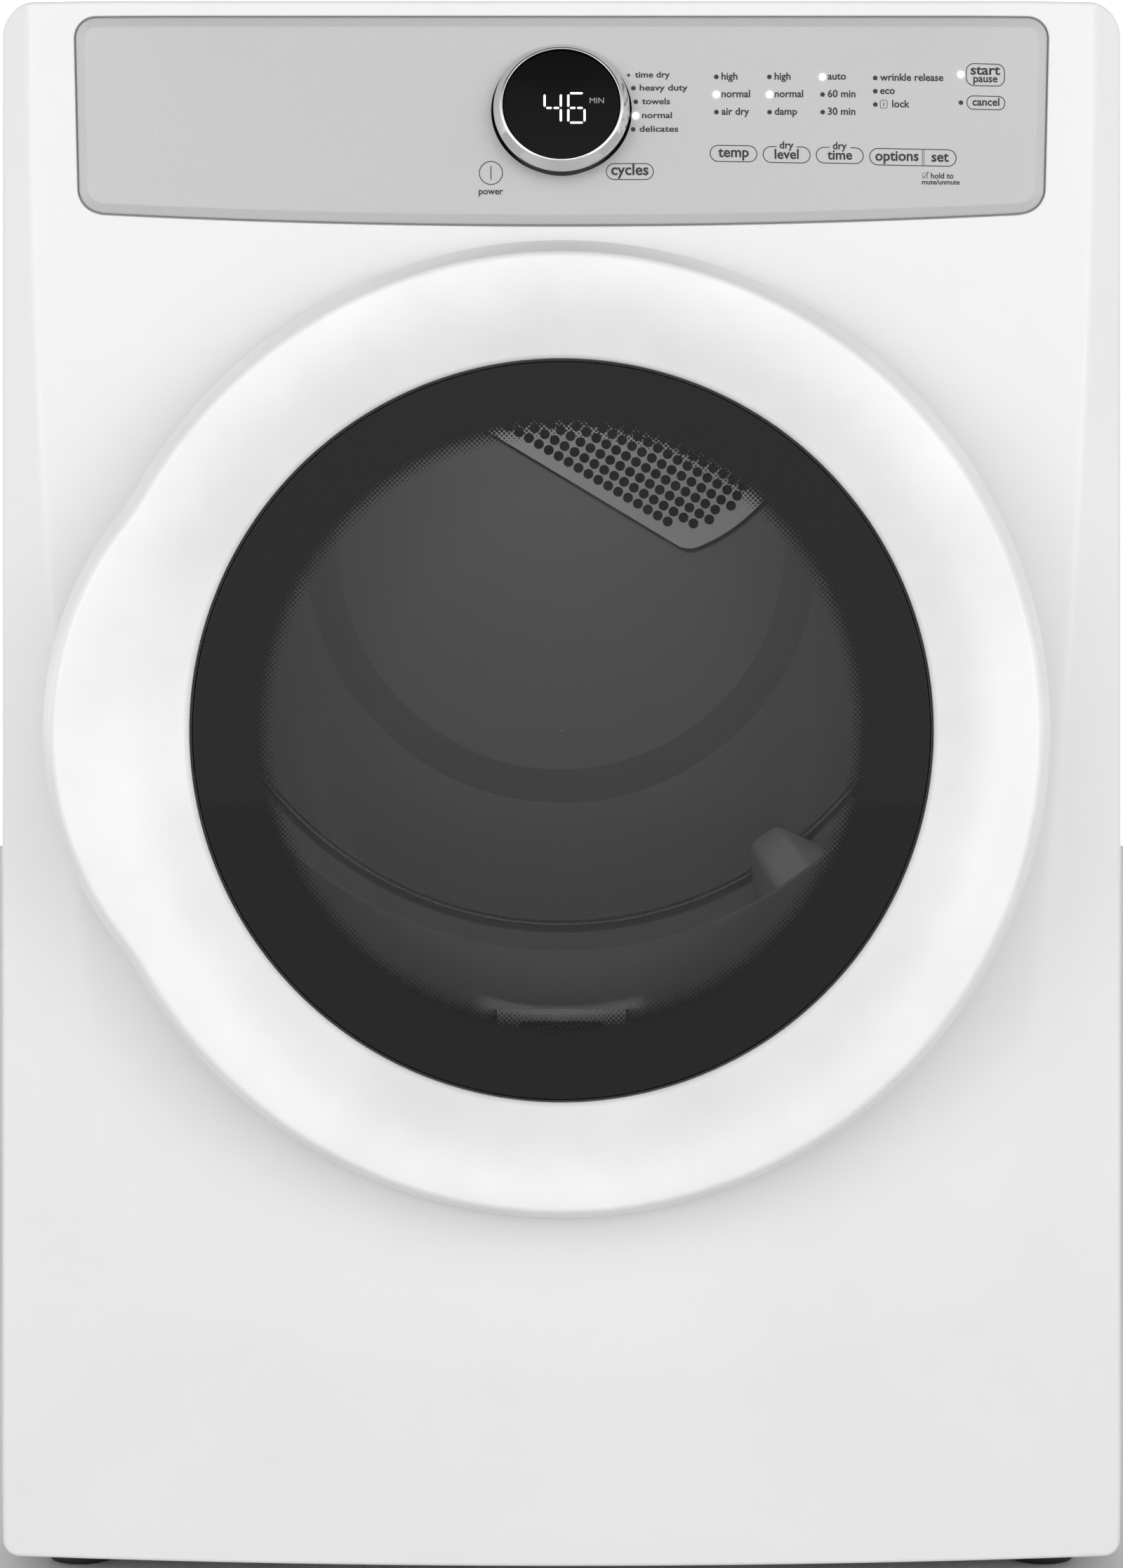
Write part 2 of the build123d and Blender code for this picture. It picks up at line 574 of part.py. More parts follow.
# ---- console ----
def make_fascia(front):
    """Console fascia, proud of the panel, with a holding flange behind it."""
    skin = Pos(0, -FASCIA_PROUD, 0) * front
    plate = (skin & prism(fascia_outline(0), -420, -290)) - Pos(0, 6, 0) * front
    flange = ((Pos(0, SHEET + 0.1, 0) * front) & prism(fascia_outline(4), -420, -290)) - Pos(0, 4, 0) * front
    fascia = plate + flange
    fascia -= dial_axis_bar(DIAL_LENS_R + 1.2, -40, 40)
    for x, z in light_places():
        fascia -= disc(x, z, 1.6, -420, -300)
    return fascia


def dial_axis_bar(radius, start, end):
    """A round bar along the dial's leaning axis, measured outwards from the dial's centre."""
    bar = Pos(0, 0, (start + end) / 2) * Cylinder(radius, end - start)
    return Pos(0, DIAL_Y, DIAL_Z) * Rot(X=90 - DIAL_LEAN) * bar


def make_dial_bezel(front):
    """Chrome ring of the display, leaning back more than the fascia."""
    ring_body = dial_axis_bar(DIAL_R, -30, 6)
    ring_body = fillet(ring_body.edges().sort_by(Axis.Y)[0], 3.5)
    ring_body -= dial_axis_bar(DIAL_LENS_R, -60, 20)
    return ring_body - Pos(0, -FASCIA_PROUD, 0) * front


def light_places():
    """Centres of the indicator lights: an arc round the display, three columns, one column, two keys."""
    places = []
    for step in range(5):
        turn = math.radians(25.8 - 10.5 * step)
        places.append((46.5 * math.cos(turn), DIAL_Z + 46.5 * math.sin(turn)))
    for column in range(3):
        for row in range(3):
            places.append((94.4 + 32.2 * column, 917.7 - 10.8 * row))
    for row in range(3):
        places.append((191.1, 916.8 - 8.3 * row))
    places += [(242.5, 919.4), (242.5, 902.3)]
    return places


def surface_y(x, z):
    """Depth of the leaning fascia surface at a point."""
    bowed = PANEL_MID_Y + PANEL_BOW * (x / HALF) ** 2
    leaned = PANEL_MID_Y + max(0.0, z - LEAN_START_Z) * math.tan(math.radians(LEAN_DEG))
    return max(bowed, leaned) - FASCIA_PROUD


def make_lights():
    """Light pipes of the indicators."""
    lights = []
    for x, z in light_places():
        face_y = surface_y(x, z) + 0.2
        lights.append(disc(x, z, 1.5, face_y, face_y + 9))
    return Compound(children=lights)


def make_control_board():
    """Control board behind the fascia with its larger components."""
    board = block(-60, 275, -302, -300.4, 850, 936)
    for x in (-30, 60, 130, 200):
        board += block(x, x + 26, -300.4, -288, 862, 884)
    board += disc(240, 900, 12, -300.4, -284)
    board += block(-35, 35, -314, -302, 870, 925)
    return board


# ---- air path ----
def make_lint_filter():
    """Pull-out lint filter: framed mesh with a grip."""
    y0, y1 = FILTER_Y
    frame = block(-95, 95, y0, y1, 130, 322) - block(-86, 86, y0 - 1, y1 + 1, 139, 313)
    mesh = block(-86, 86, (y0 + y1) / 2 - 0.5, (y0 + y1) / 2 + 0.5, 139, 313)
    bars = block(-3, 3, y0 + 3, y1 - 3, 139, 313)
    grip = block(-40, 40, y0, y1, 322, 344) - block(-26, 26, y0 - 1, y1 + 1, 326, 338)
    return frame + mesh + bars + grip


def make_lint_duct():
    """Duct under the filter slot, down to the blower inlet."""
    y0, y1 = LINT_DUCT_Y
    duct = tray(-165, 115, y0, y1, 85, 345, SHEET, ["z1"])
    duct -= disc(0, DOOR_Z, OPENING_R + SHEET + 0.2, -300, -240)
    duct -= disc(MOTOR_X, MOTOR_Z, 48, -255, -245)
    return duct


def make_blower_housing():
    """Scroll housing of the blower with its outlet to the exhaust duct."""
    scroll = Pos(MOTOR_X, MOTOR_Z) * Circle(84)
    outlet = Pos(-6, 95) * Rectangle(208, 110)
    outline = scroll + outlet
    inner = (Pos(MOTOR_X, MOTOR_Z) * Circle(82)) + Pos(-6, 95) * Rectangle(204, 106)
    housing = prism(outline, -250.4, -150) - prism(inner, -248.4, -152)
    housing -= disc(MOTOR_X, MOTOR_Z, 48, -260, -240)
    housing -= disc(MOTOR_X, MOTOR_Z, 10, -160, -140)
    return housing - disc(EXHAUST_X, EXHAUST_Z, EXHAUST_R - SHEET, -160, -140)


def make_exhaust_duct():
    """Straight exhaust duct with beads, out to the collar at the rear."""
    duct = ring(EXHAUST_X, EXHAUST_Z, EXHAUST_R, EXHAUST_R - SHEET, -150, REARMOST_Y)
    for y in (0.0, REAR_PANEL_Y + 1.5):
        duct += ring(EXHAUST_X, EXHAUST_Z, EXHAUST_R + 2, EXHAUST_R, y, y + 3)
    return duct


def make_rear_air_duct():
    """Cover that leads heated air up to the grille."""
    duct = tray(-80, 196, REAR_WALL_Y + SHEET, 366, 470, 872, SHEET, ["y0"])
    return duct - block(0, 130, 335, 362, 460, 480)


def make_heater_box():
    """Vertical heater housing at the rear, open at both ends."""
    return tray(-4, 134, 333, 365, 200, 469.5, SHEET, ["z0", "z1"])


def make_heater_coil():
    """Bent heating element."""
    passes = 6
    pitch = 36.0
    points = []
    for row in range(passes):
        z = 240.0 + pitch * row
        ends = [(18, z), (112, z)]
        points += ends if row % 2 == 0 else ends[::-1]
    path = FilletPolyline(*points, radius=12)
    wire = Plane.XZ.offset(-349) * path
    start = Plane(origin=wire @ 0, z_dir=wire % 0)
    return sweep(start * Circle(3.2), path=wire)


def make_thermostats():
    """Two disc thermostats on the heater box."""
    bodies = []
    for z in (300, 400):
        base = Pos(134 + 1, 349, z) * Rot(Y=90) * Cylinder(11, 2)
        cap = Pos(134 + 7, 349, z) * Rot(Y=90) * Cylinder(8, 10)
        bodies.append(base + cap)
    return Compound(children=bodies)


# ---- drive ----
def make_motor_body():
    """Motor can with a winding space, vented end bells and bearing hubs."""
    can = disc(MOTOR_X, MOTOR_Z, MOTOR_R, -90, 40)
    bells = disc(MOTOR_X, MOTOR_Z, MOTOR_R - 10, -100, 50)
    hubs = disc(MOTOR_X, MOTOR_Z, 20, -114, 64)
    windings = ring(MOTOR_X, MOTOR_Z, MOTOR_R - 4, MOTOR_CORE_R, -86, 36)
    vents = []
    for angle in range(0, 360, 45):
        turn = math.radians(angle)
        place = (MOTOR_X + 40 * math.cos(turn), MOTOR_Z + 40 * math.sin(turn))
        vents.append(disc(*place, 6, -102, -80))
        vents.append(disc(*place, 6, 30, 52))
    body = can + bells + hubs - windings - vents
    return body - disc(MOTOR_X, MOTOR_Z, SHAFT_R + RUNNING_FIT, -120, 70)


def make_motor_mount():
    """Motor cradle: base plate, two uprights and the idler pivot stud."""
    base = block(-180, -40, -130, 90, 19.5, 24)
    mount = base
    for y in (-112, 57):
        mount += block(-165, -55, y, y + 5, 24, MOTOR_Z + 24)
    mount -= disc(MOTOR_X, MOTOR_Z, 20, -130, 80)
    mount += block(-90, -60, 62, 66, 24, 76)
    stud = disc(ARM_PIVOT_X, ARM_PIVOT_Z, 5, 60, 84) + disc(ARM_PIVOT_X, ARM_PIVOT_Z, 8, 80.5, 84)
    return mount + stud


def make_motor_shaft():
    """Motor shaft that carries the blower wheel and the belt pulley."""
    return disc(MOTOR_X, MOTOR_Z, SHAFT_R, -226, 122)


def make_motor_pulley():
    """Belt pulley with two flanges."""
    pulley = ring(MOTOR_X, MOTOR_Z, PULLEY_R, SHAFT_R, BELT_Y - 8, BELT_Y + 8)
    pulley += ring(MOTOR_X, MOTOR_Z, PULLEY_R + 4, SHAFT_R, BELT_Y - 8, BELT_Y - 5)
    return pulley + ring(MOTOR_X, MOTOR_Z, PULLEY_R + 4, SHAFT_R, BELT_Y + 5, BELT_Y + 8)


def make_blower_wheel():
    """Blower wheel: back plate, hub, vanes and front ring."""
    wheel = ring(MOTOR_X, MOTOR_Z, 72, SHAFT_R, -174, -170)
    wheel += ring(MOTOR_X, MOTOR_Z, 15, SHAFT_R, -215, -174)
    wheel += ring(MOTOR_X, MOTOR_Z, 72, 52, -234, -231)
    vane = Pos(62, -202.5, 0) * Rot(Y=30) * Box(19, 57.2, 1.6)
    for count in range(24):
        wheel += Pos(MOTOR_X, 0, MOTOR_Z) * Rot(Y=15 * count) * vane
    return wheel


def make_idler_arm():
    """Idler arm with its pivot boss, pulley stud and spring hook."""
    reach_x = IDLER_X - ARM_PIVOT_X
    reach_z = IDLER_Z - ARM_PIVOT_Z
    length = math.hypot(reach_x, reach_z)
    tilt = math.degrees(math.atan2(reach_z, reach_x))
    bar = Pos(ARM_PIVOT_X, ARM_PIVOT_Z) * Rot(Z=tilt) * Pos(length / 2, 0) * SlotCenterToCenter(length, 18)
    arm = prism(bar, 72, 76) + disc(ARM_PIVOT_X, ARM_PIVOT_Z, 9, 70, 79)
    arm -= disc(ARM_PIVOT_X, ARM_PIVOT_Z, 5 + RUNNING_FIT, 60, 80)
    arm += disc(IDLER_X, IDLER_Z, 5, 74, BELT_Y + 12)
    arm += disc(IDLER_X, IDLER_Z, 8, BELT_Y + 9, BELT_Y + 12)
    hook = block(-46, -38, 72, 76, 78, 104)
    return arm + hook


def make_idler_pulley():
    """Idler pulley that keeps the belt tight."""
    pulley = ring(IDLER_X, IDLER_Z, IDLER_R, 5 + RUNNING_FIT, BELT_Y - 8, BELT_Y + 8)
    groove = ring(IDLER_X, IDLER_Z, IDLER_R - 6, 10, BELT_Y - 9, BELT_Y - 5)
    return pulley - groove


def make_belt():
    """Drive belt round the drum, the motor pulley and the idler."""
    places = [(0, DRUM_Z, DRUM_R), (MOTOR_X, MOTOR_Z, PULLEY_R), (IDLER_X, IDLER_Z, IDLER_R)]
    loops = []
    for grow in (GAP + BELT_THICK, GAP):
        circles = [(Pos(x, z) * CenterArc((0, 0), radius + grow, 0, 360)) for x, z, radius in places]
        edges = [edge for circle in circles for edge in circle.edges()]
        loops.append(make_hull(edges))
    return prism(loops[0] - loops[1], BELT_Y - BELT_WIDTH / 2, BELT_Y + BELT_WIDTH / 2)


def make_idler_spring():
    """Idler spring between the arm's hook and the base."""
    coil = Helix(pitch=3.0, height=42, radius=4.5)
    start = Plane(origin=coil @ 0, z_dir=coil % 0)
    body = sweep(start * Circle(0.8), path=coil)
    return Pos(-44, 80, 32) * body


# ---- small pieces ----
def make_moisture_sensors():
    """Two metal bars under the drum's lip."""
    bars = []
    for z in (328, 340):
        bars.append(block(-42, 42, FRONT_WALL_Y - 2.5, FRONT_WALL_Y, z - 3, z + 3))
    return Compound(children=bars)


def make_drum_light():
    """Drum light on the front bulkhead, above the throat."""
    base = disc(0, 790, 20, FRONT_WALL_Y + SHEET, -245)
    return base + disc(0, 790, 16, -245, -236)


def make_terminal_cover():
    """Cover over the mains terminals, outside the rear panel."""
    return tray(-332, -238, REAR_PANEL_Y, REAR_PANEL_Y + 12, 158, 272, SHEET, ["y0"])


def make_terminal_block():
    """Terminal block with three posts."""
    face_y = REAR_PANEL_Y - 2
    body = block(-318, -252, face_y - 12, face_y, 190, 240)
    for x in (-305, -285, -265):
        body += disc(x, 215, 4, face_y, face_y + 9)
    return body


def make_cabinet_screws():
    """Hexagon screws along the rear panel's edges."""
    screws = []
    places = [(x, z) for x in (-325, 325) for z in (60, 350, 640, 905)]
    places += [(x, 905) for x in (-110, 110)]
    for x, z in places:
        head = Pos(x, z) * RegularPolygon(4.5, 6)
        screws.append(prism(head, REAR_PANEL_Y, REAR_PANEL_Y + 3))
    return Compound(children=screws)


def make_door_screws():
    """Pan-head screws through the door's back cover."""
    screws = []
    for x, z in door_screw_places():
        cover_face = DOOR_BACK_Y - 0.8
        screws.append(disc(x, z, 4, cover_face, cover_face + 2) + disc(x, z, 2.0, -358, cover_face))
    return Compound(children=screws)


# ---- assembly ----
front = front_block()

# cabinet and console
parts["front_panel"] = make_front_panel(front)
parts["console_fascia"] = make_fascia(front)
parts["display_bezel"] = make_dial_bezel(front)
parts["display_lens"] = dial_axis_bar(DIAL_LENS_R - 0.2, 0, 3)
parts["indicator_lights"] = make_lights()
parts["control_board"] = make_control_board()
parts["side_panel_left"] = make_side_panel(-1)
parts["side_panel_right"] = make_side_panel(1)
parts["top_panel"] = make_top_panel()
parts["rear_panel"] = make_rear_panel()
parts["base_pan"] = make_base_pan()

# bulkheads, air inlet and wiring
parts["front_bulkhead"] = make_front_bulkhead()
parts["rear_bulkhead"] = make_rear_bulkhead()
parts["air_inlet_grille"] = make_grille()
parts["rear_air_duct"] = make_rear_air_duct()
parts["heater_box"] = make_heater_box()
parts["heater_coil"] = make_heater_coil()
parts["thermostats"] = make_thermostats()
parts["terminal_cover"] = make_terminal_cover()
parts["terminal_block"] = make_terminal_block()
parts["cabinet_screws"] = make_cabinet_screws()
parts["cabinet_hinge_leaf"] = make_hinge_leaf()
parts["door_catch"] = make_door_catch()
parts["door_switch_body"] = make_switch_body()
parts["door_switch_plunger"] = make_switch_plunger()

# drum surroundings and air path
parts["front_drum_seal"] = ring(0, DRUM_Z, FRONT_LIP_R - GAP, FRONT_LIP_R - 4, -246, -231)
parts["rear_drum_seal"] = ring(0, DRUM_Z, REAR_LIP_R - GAP, REAR_LIP_R - 4, 316, 328)
parts["moisture_sensors"] = make_moisture_sensors()
parts["drum_light"] = make_drum_light()
parts["lint_duct"] = make_lint_duct()
parts["lint_filter"] = make_lint_filter()
parts["blower_housing"] = make_blower_housing()
parts["exhaust_duct"] = make_exhaust_duct()

# drive and drum
parts["blower_wheel"] = make_blower_wheel()
parts["motor_body"] = make_motor_body()
parts["motor_mount"] = make_motor_mount()
parts["motor_shaft"] = make_motor_shaft()
parts["motor_pulley"] = make_motor_pulley()
parts["idler_arm"] = make_idler_arm()
parts["idler_pulley"] = make_idler_pulley()
parts["idler_spring"] = make_idler_spring()
parts["drive_belt"] = make_belt()
parts["roller_axles"] = make_roller_axles()
parts["drum_shell"] = make_drum_shell()
parts["drum_baffles"] = make_drum_baffles()

# door
parts["door_outer_ring"] = make_door_ring()
parts["door_glass"] = disc(0, DOOR_Z, GLASS_R, GLASS_Y, GLASS_Y + 4)
parts["door_inner_panel"] = make_door_inner_panel()
parts["door_inner_window"] = make_door_window()
parts["door_seal"] = ring(0, DOOR_Z, 240, 228, DOOR_BACK_Y - 0.8, SEAT_Y - GAP)
parts["door_strike"] = make_door_strike()
parts["door_hinge_brackets"] = make_hinge_brackets()
parts["hinge_pin"] = upright_bar(HINGE_X, HINGE_Y, PIN_R, DOOR_Z - 17, DOOR_Z + 17)
parts["door_screws"] = make_door_screws()

# rollers and feet
for name, (x, z) in zip(("drum_roller_left", "drum_roller_right"), roller_centres()):
    parts[name] = make_roller(x, z)
for x, side in ((-FOOT_X, "left"), (FOOT_X, "right")):
    for y, end in zip(FOOT_Y, ("front", "rear")):
        parts[f"foot_{end}_{side}"] = make_foot(x, y)

os.makedirs("parts", exist_ok=True)
for name, shape in parts.items():
    export_step(shape, f"parts/{name}.step")
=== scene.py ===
import math

import bpy
import numpy as np
from mathutils import Matrix, Vector
from mathutils.geometry import delaunay_2d_cdt
from mathutils.kdtree import KDTree


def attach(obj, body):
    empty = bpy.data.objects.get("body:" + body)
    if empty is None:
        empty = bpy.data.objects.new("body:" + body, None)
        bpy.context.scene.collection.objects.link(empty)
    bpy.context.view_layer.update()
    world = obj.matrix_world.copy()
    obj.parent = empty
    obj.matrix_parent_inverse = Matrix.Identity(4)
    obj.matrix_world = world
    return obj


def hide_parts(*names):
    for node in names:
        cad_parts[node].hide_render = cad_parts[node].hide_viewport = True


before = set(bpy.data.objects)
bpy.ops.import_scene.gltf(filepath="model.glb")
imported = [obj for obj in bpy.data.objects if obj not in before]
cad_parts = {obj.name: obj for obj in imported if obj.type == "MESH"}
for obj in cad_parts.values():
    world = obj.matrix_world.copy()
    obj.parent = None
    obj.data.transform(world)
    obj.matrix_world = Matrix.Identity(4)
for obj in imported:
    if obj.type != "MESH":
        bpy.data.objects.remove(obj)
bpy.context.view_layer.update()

# A white front-loading clothes dryer. Metres, +Z up, the front faces -Y.

# ---- sizes ----
HALF = 0.343
HEIGHT = 0.965
PANEL_LOW = 0.013
MID_Y = -0.337
EDGE_Y = -0.306
RETURN_Y = -0.292
BOW = 0.020
LEAN_START = 0.835
LEAN = math.tan(math.radians(5.5))
SKIRT_Y = -0.328
SKIRT_BOW = 0.026
SKIRT_SLOPE = 9.0 / 117.0
TOP_CORNER = 0.020
LOW_CORNER = 0.010
EDGE_ROUND = 0.0026

DOOR_Z = 0.523
RIM_R = 0.294
LOBE_R = 0.2068
LOBE_SHIFT = 0.105
LOBE_FILLET = 0.150
SEAT_R = 0.286
SEAT_Y = -0.335
OPENING_R = 0.2065
GLASS_R = 0.2215
CATCH = (-0.262, 0.523)
SWITCH = (-0.175, 0.698)

GLASS_FRONT = -0.3730
GLASS_BACK = -0.3692
CREST_Y = -0.4000
FUNNEL_R = 0.2222
FRIT_INNER_R = 0.1705
FRIT_OUTER_R = 0.1875
FRIT_CENTRE_Z = DOOR_Z + 0.002
DOT_PITCH = 0.0021

DIAL_Z = 0.8985
DIAL_Y = -0.342
DIAL_R = 0.042
LENS_R = 0.0353
DIAL_LEAN = math.radians(16)
PROUD = 0.002
BEVEL = 0.006
BEVEL_DROP = 0.0022
CONSOLE_GAP = 0.0009
PANEL_LIP = 0.0008
PANEL_TURN_IN = 0.0052
FASCIA_ROUND = 0.0012
FASCIA_WALL = 0.0024
FASCIA_FLANGE = 0.0040
DIAL_HOLE = (0.0427, 0.0394)
DIAL_HOLE_Z = 0.8969

LINE = 0.00052
THIN_LINE = 0.0003
CYCLE_TEXT = 0.0052
LABEL_TEXT = 0.00624
LIGHT_ON_R = 0.0020
LIGHT_OFF_R = 0.0014
FIRST_LIGHT_R = 0.0009
GLOW_R = 0.0044

PANEL_SPACING = 0.0045
SEAT_SPACING = 0.009


# ---- materials ----
def output_of(material):
    """The nodes, links and principled shader of a material."""
    tree = material.node_tree
    return tree.nodes, tree.links, tree.nodes["Principled BSDF"]


def plain_material(name, color, roughness, metallic=0.0, **sockets):
    """A principled material with its uniform values set on the sockets."""
    material = bpy.data.materials.new(name)
    material.use_nodes = True
    shader = material.node_tree.nodes["Principled BSDF"]
    shader.inputs["Base Color"].default_value = (*color, 1.0)
    shader.inputs["Roughness"].default_value = roughness
    shader.inputs["Metallic"].default_value = metallic
    for socket, value in sockets.items():
        shader.inputs[socket.replace("_", " ")].default_value = value
    return material


def place_node(material, stretch=(1.0, 1.0, 1.0)):
    """Object coordinates, stretched."""
    nodes, links, _ = output_of(material)
    where = nodes.new("ShaderNodeTexCoord")
    mapping = nodes.new("ShaderNodeMapping")
    mapping.inputs["Scale"].default_value = stretch
    links.new(where.outputs["Object"], mapping.inputs["Vector"])
    return mapping.outputs["Vector"]


def noise_node(material, place, scale, detail=3.0):
    """A noise texture at a place."""
    nodes, links, _ = output_of(material)
    noise = nodes.new("ShaderNodeTexNoise")
    noise.inputs["Scale"].default_value = scale
    noise.inputs["Detail"].default_value = detail
    links.new(place, noise.inputs["Vector"])
    return noise.outputs["Fac"]


def wave_node(material, direction, scale):
    """Even lines across a direction."""
    nodes, links, _ = output_of(material)
    wave = nodes.new("ShaderNodeTexWave")
    wave.bands_direction = direction
    wave.inputs["Scale"].default_value = scale
    links.new(place_node(material), wave.inputs["Vector"])
    return wave.outputs["Fac"]


def ranged(tree, value, source, target):
    """A value taken from one range to another."""
    node = tree.nodes.new("ShaderNodeMapRange")
    for end, number in zip(("From Min", "From Max", "To Min", "To Max"), (*source, *target)):
        node.inputs[end].default_value = number
    tree.links.new(value, node.inputs["Value"])
    return node.outputs["Result"]


def math_node(material, operation, first, second=None):
    """A math node over two inputs, each an output or a number."""
    nodes, links, _ = output_of(material)
    node = nodes.new("ShaderNodeMath")
    node.operation = operation
    for index, value in enumerate((first, second)):
        if isinstance(value, (int, float)):
            node.inputs[index].default_value = value
        elif value is not None:
            links.new(value, node.inputs[index])
    return node.outputs["Value"]


def add_bump(material, height, strength, distance):
    """Bump from a height output, after any bump that is already there."""
    nodes, links, shader = output_of(material)
    bump = nodes.new("ShaderNodeBump")
    bump.inputs["Strength"].default_value = strength
    bump.inputs["Distance"].default_value = distance
    before = shader.inputs["Normal"].links
    if before:
        links.new(before[0].from_socket, bump.inputs["Normal"])
    links.new(height, bump.inputs["Height"])
    links.new(bump.outputs["Normal"], shader.inputs["Normal"])


def add_rough(material, fac, low, high):
    """Roughness that varies with fac."""
    _, links, shader = output_of(material)
    links.new(ranged(material.node_tree, fac, (0.3, 0.7), (low, high)), shader.inputs["Roughness"])


def add_tint(material, fac, stops, socket="Base Color"):
    """Colour from a ramp over fac, stops are (position, colour)."""
    nodes, links, shader = output_of(material)
    ramp = nodes.new("ShaderNodeValToRGB")
    elements = ramp.color_ramp.elements
    elements[0].position, elements[0].color = stops[0][0], (*stops[0][1], 1.0)
    elements[1].position, elements[1].color = stops[-1][0], (*stops[-1][1], 1.0)
    for position, color in stops[1:-1]:
        elements.new(position).color = (*color, 1.0)
    links.new(fac, ramp.inputs["Fac"])
    links.new(ramp.outputs["Color"], shader.inputs[socket])


def shade(color, factor):
    """A colour made lighter or darker."""
    return tuple(min(1.0, c * factor) for c in color)


def enamel(name, color, roughness, peel=0.12):
    """Baked enamel with a faint orange peel and dust-fine tone changes."""
    material = plain_material(name, color, roughness, Coat_Weight=0.25, Coat_Roughness=0.12)
    place = place_node(material)
    fine = noise_node(material, place, 420.0, 2.0)
    broad = noise_node(material, place, 9.0, 4.0)
    add_tint(material, broad, [(0.3, shade(color, 0.988)), (0.7, shade(color, 1.012))])
    add_rough(material, broad, roughness * 0.9, roughness * 1.15)
    add_bump(material, fine, peel, 0.00006)
    return material


def moulded(name, color, roughness, grain=900.0, depth=0.25):
    """Moulded plastic with a fine grain."""
    material = plain_material(name, color, roughness)
    place = place_node(material)
    fine = noise_node(material, place, grain, 2.0)
    broad = noise_node(material, place, 14.0, 3.0)
    add_tint(material, broad, [(0.3, shade(color, 0.96)), (0.7, shade(color, 1.04))])
    add_rough(material, fine, roughness * 0.85, roughness * 1.15)
    add_bump(material, fine, depth, 0.0001)
    return material


def drawn_metal(name, color, roughness, stretch, metallic=1.0):
    """Rolled or turned metal with fine lines across the stretch."""
    material = plain_material(name, color, roughness, metallic)
    lines = noise_node(material, place_node(material, stretch), 60.0, 5.0)
    broad = noise_node(material, place_node(material), 11.0, 3.0)
    add_tint(material, broad, [(0.25, shade(color, 0.86)), (0.75, shade(color, 1.08))])
    add_rough(material, lines, roughness * 0.7, roughness * 1.4)
    add_bump(material, lines, 0.15, 0.0001)
    return material


def zinc(name):
    """Galvanised sheet with crystal spangle."""
    material = plain_material(name, (0.56, 0.57, 0.58), 0.42, 0.85)
    nodes, links, _ = output_of(material)
    spangle = nodes.new("ShaderNodeTexVoronoi")
    spangle.inputs["Scale"].default_value = 70.0
    links.new(place_node(material, (1.0, 1.0, 0.8)), spangle.inputs["Vector"])
    tone = nodes.new("ShaderNodeRGBToBW")
    links.new(spangle.outputs["Color"], tone.inputs["Color"])
    add_tint(material, tone.outputs["Val"], [(0.1, (0.44, 0.45, 0.46)), (0.5, (0.55, 0.56, 0.57)),
                                             (0.9, (0.66, 0.67, 0.68))])
    add_rough(material, tone.outputs["Val"], 0.34, 0.5)
    add_bump(material, noise_node(material, place_node(material), 500.0), 0.1, 0.00005)
    return material


def rubbery(name, color, roughness):
    """Rubber with a bloom and fine pits."""
    material = plain_material(name, color, roughness)
    place = place_node(material)
    bloom = noise_node(material, place, 35.0, 6.0)
    add_tint(material, bloom, [(0.35, shade(color, 0.8)), (0.7, shade(color, 1.5))])
    add_rough(material, bloom, roughness * 0.9, min(1.0, roughness * 1.1))
    add_bump(material, noise_node(material, place, 1200.0), 0.3, 0.0001)
    return material


def felted(name, color):
    """Pressed felt with short fibres."""
    material = plain_material(name, color, 0.95, Sheen_Weight=0.4)
    fibres = noise_node(material, place_node(material, (1.0, 3.0, 1.0)), 900.0, 8.0)
    add_tint(material, fibres, [(0.3, shade(color, 0.6)), (0.7, shade(color, 1.25))])
    add_bump(material, fibres, 0.8, 0.0004)
    return material


def ribbed_rubber(name):
    """Poly-V belt: ribs along the belt's run."""
    material = rubbery(name, (0.025, 0.025, 0.025), 0.6)
    add_bump(material, wave_node(material, "Y", 260.0), 0.8, 0.0006)
    return material


def board_green(name):
    """Printed circuit board: traces in squares of solder mask."""
    material = plain_material(name, (0.03, 0.14, 0.06), 0.4)
    nodes, links, shader = output_of(material)
    traces = nodes.new("ShaderNodeTexBrick")
    traces.inputs["Scale"].default_value = 60.0
    traces.inputs["Color1"].default_value = (0.02, 0.12, 0.05, 1.0)
    traces.inputs["Color2"].default_value = (0.03, 0.17, 0.07, 1.0)
    traces.inputs["Mortar"].default_value = (0.20, 0.32, 0.10, 1.0)
    traces.inputs["Mortar Size"].default_value = 0.03
    turn = nodes.new("ShaderNodeMapping")
    turn.inputs["Rotation"].default_value = (math.radians(90), 0, 0)
    links.new(place_node(material), turn.inputs["Vector"])
    links.new(turn.outputs["Vector"], traces.inputs["Vector"])
    links.new(traces.outputs["Color"], shader.inputs["Base Color"])
    add_bump(material, traces.outputs["Fac"], 0.3, 0.0001)
    return material


def screen_mesh(name):
    """Lint screen: woven threads in a plastic frame."""
    material = plain_material(name, (0.52, 0.53, 0.54), 0.5)
    weave = math_node(material, "MULTIPLY", wave_node(material, "X", 190.0), wave_node(material, "Z", 190.0))
    add_tint(material, weave, [(0.1, (0.40, 0.41, 0.42)), (0.6, (0.66, 0.67, 0.68))])
    add_bump(material, weave, 0.5, 0.0004)
    return material


def motor_black(name):
    """Painted motor can with lamination lines."""
    material = enamel(name, (0.045, 0.046, 0.05), 0.38, 0.5)
    add_bump(material, wave_node(material, "Y", 160.0), 0.25, 0.0003)
    return material


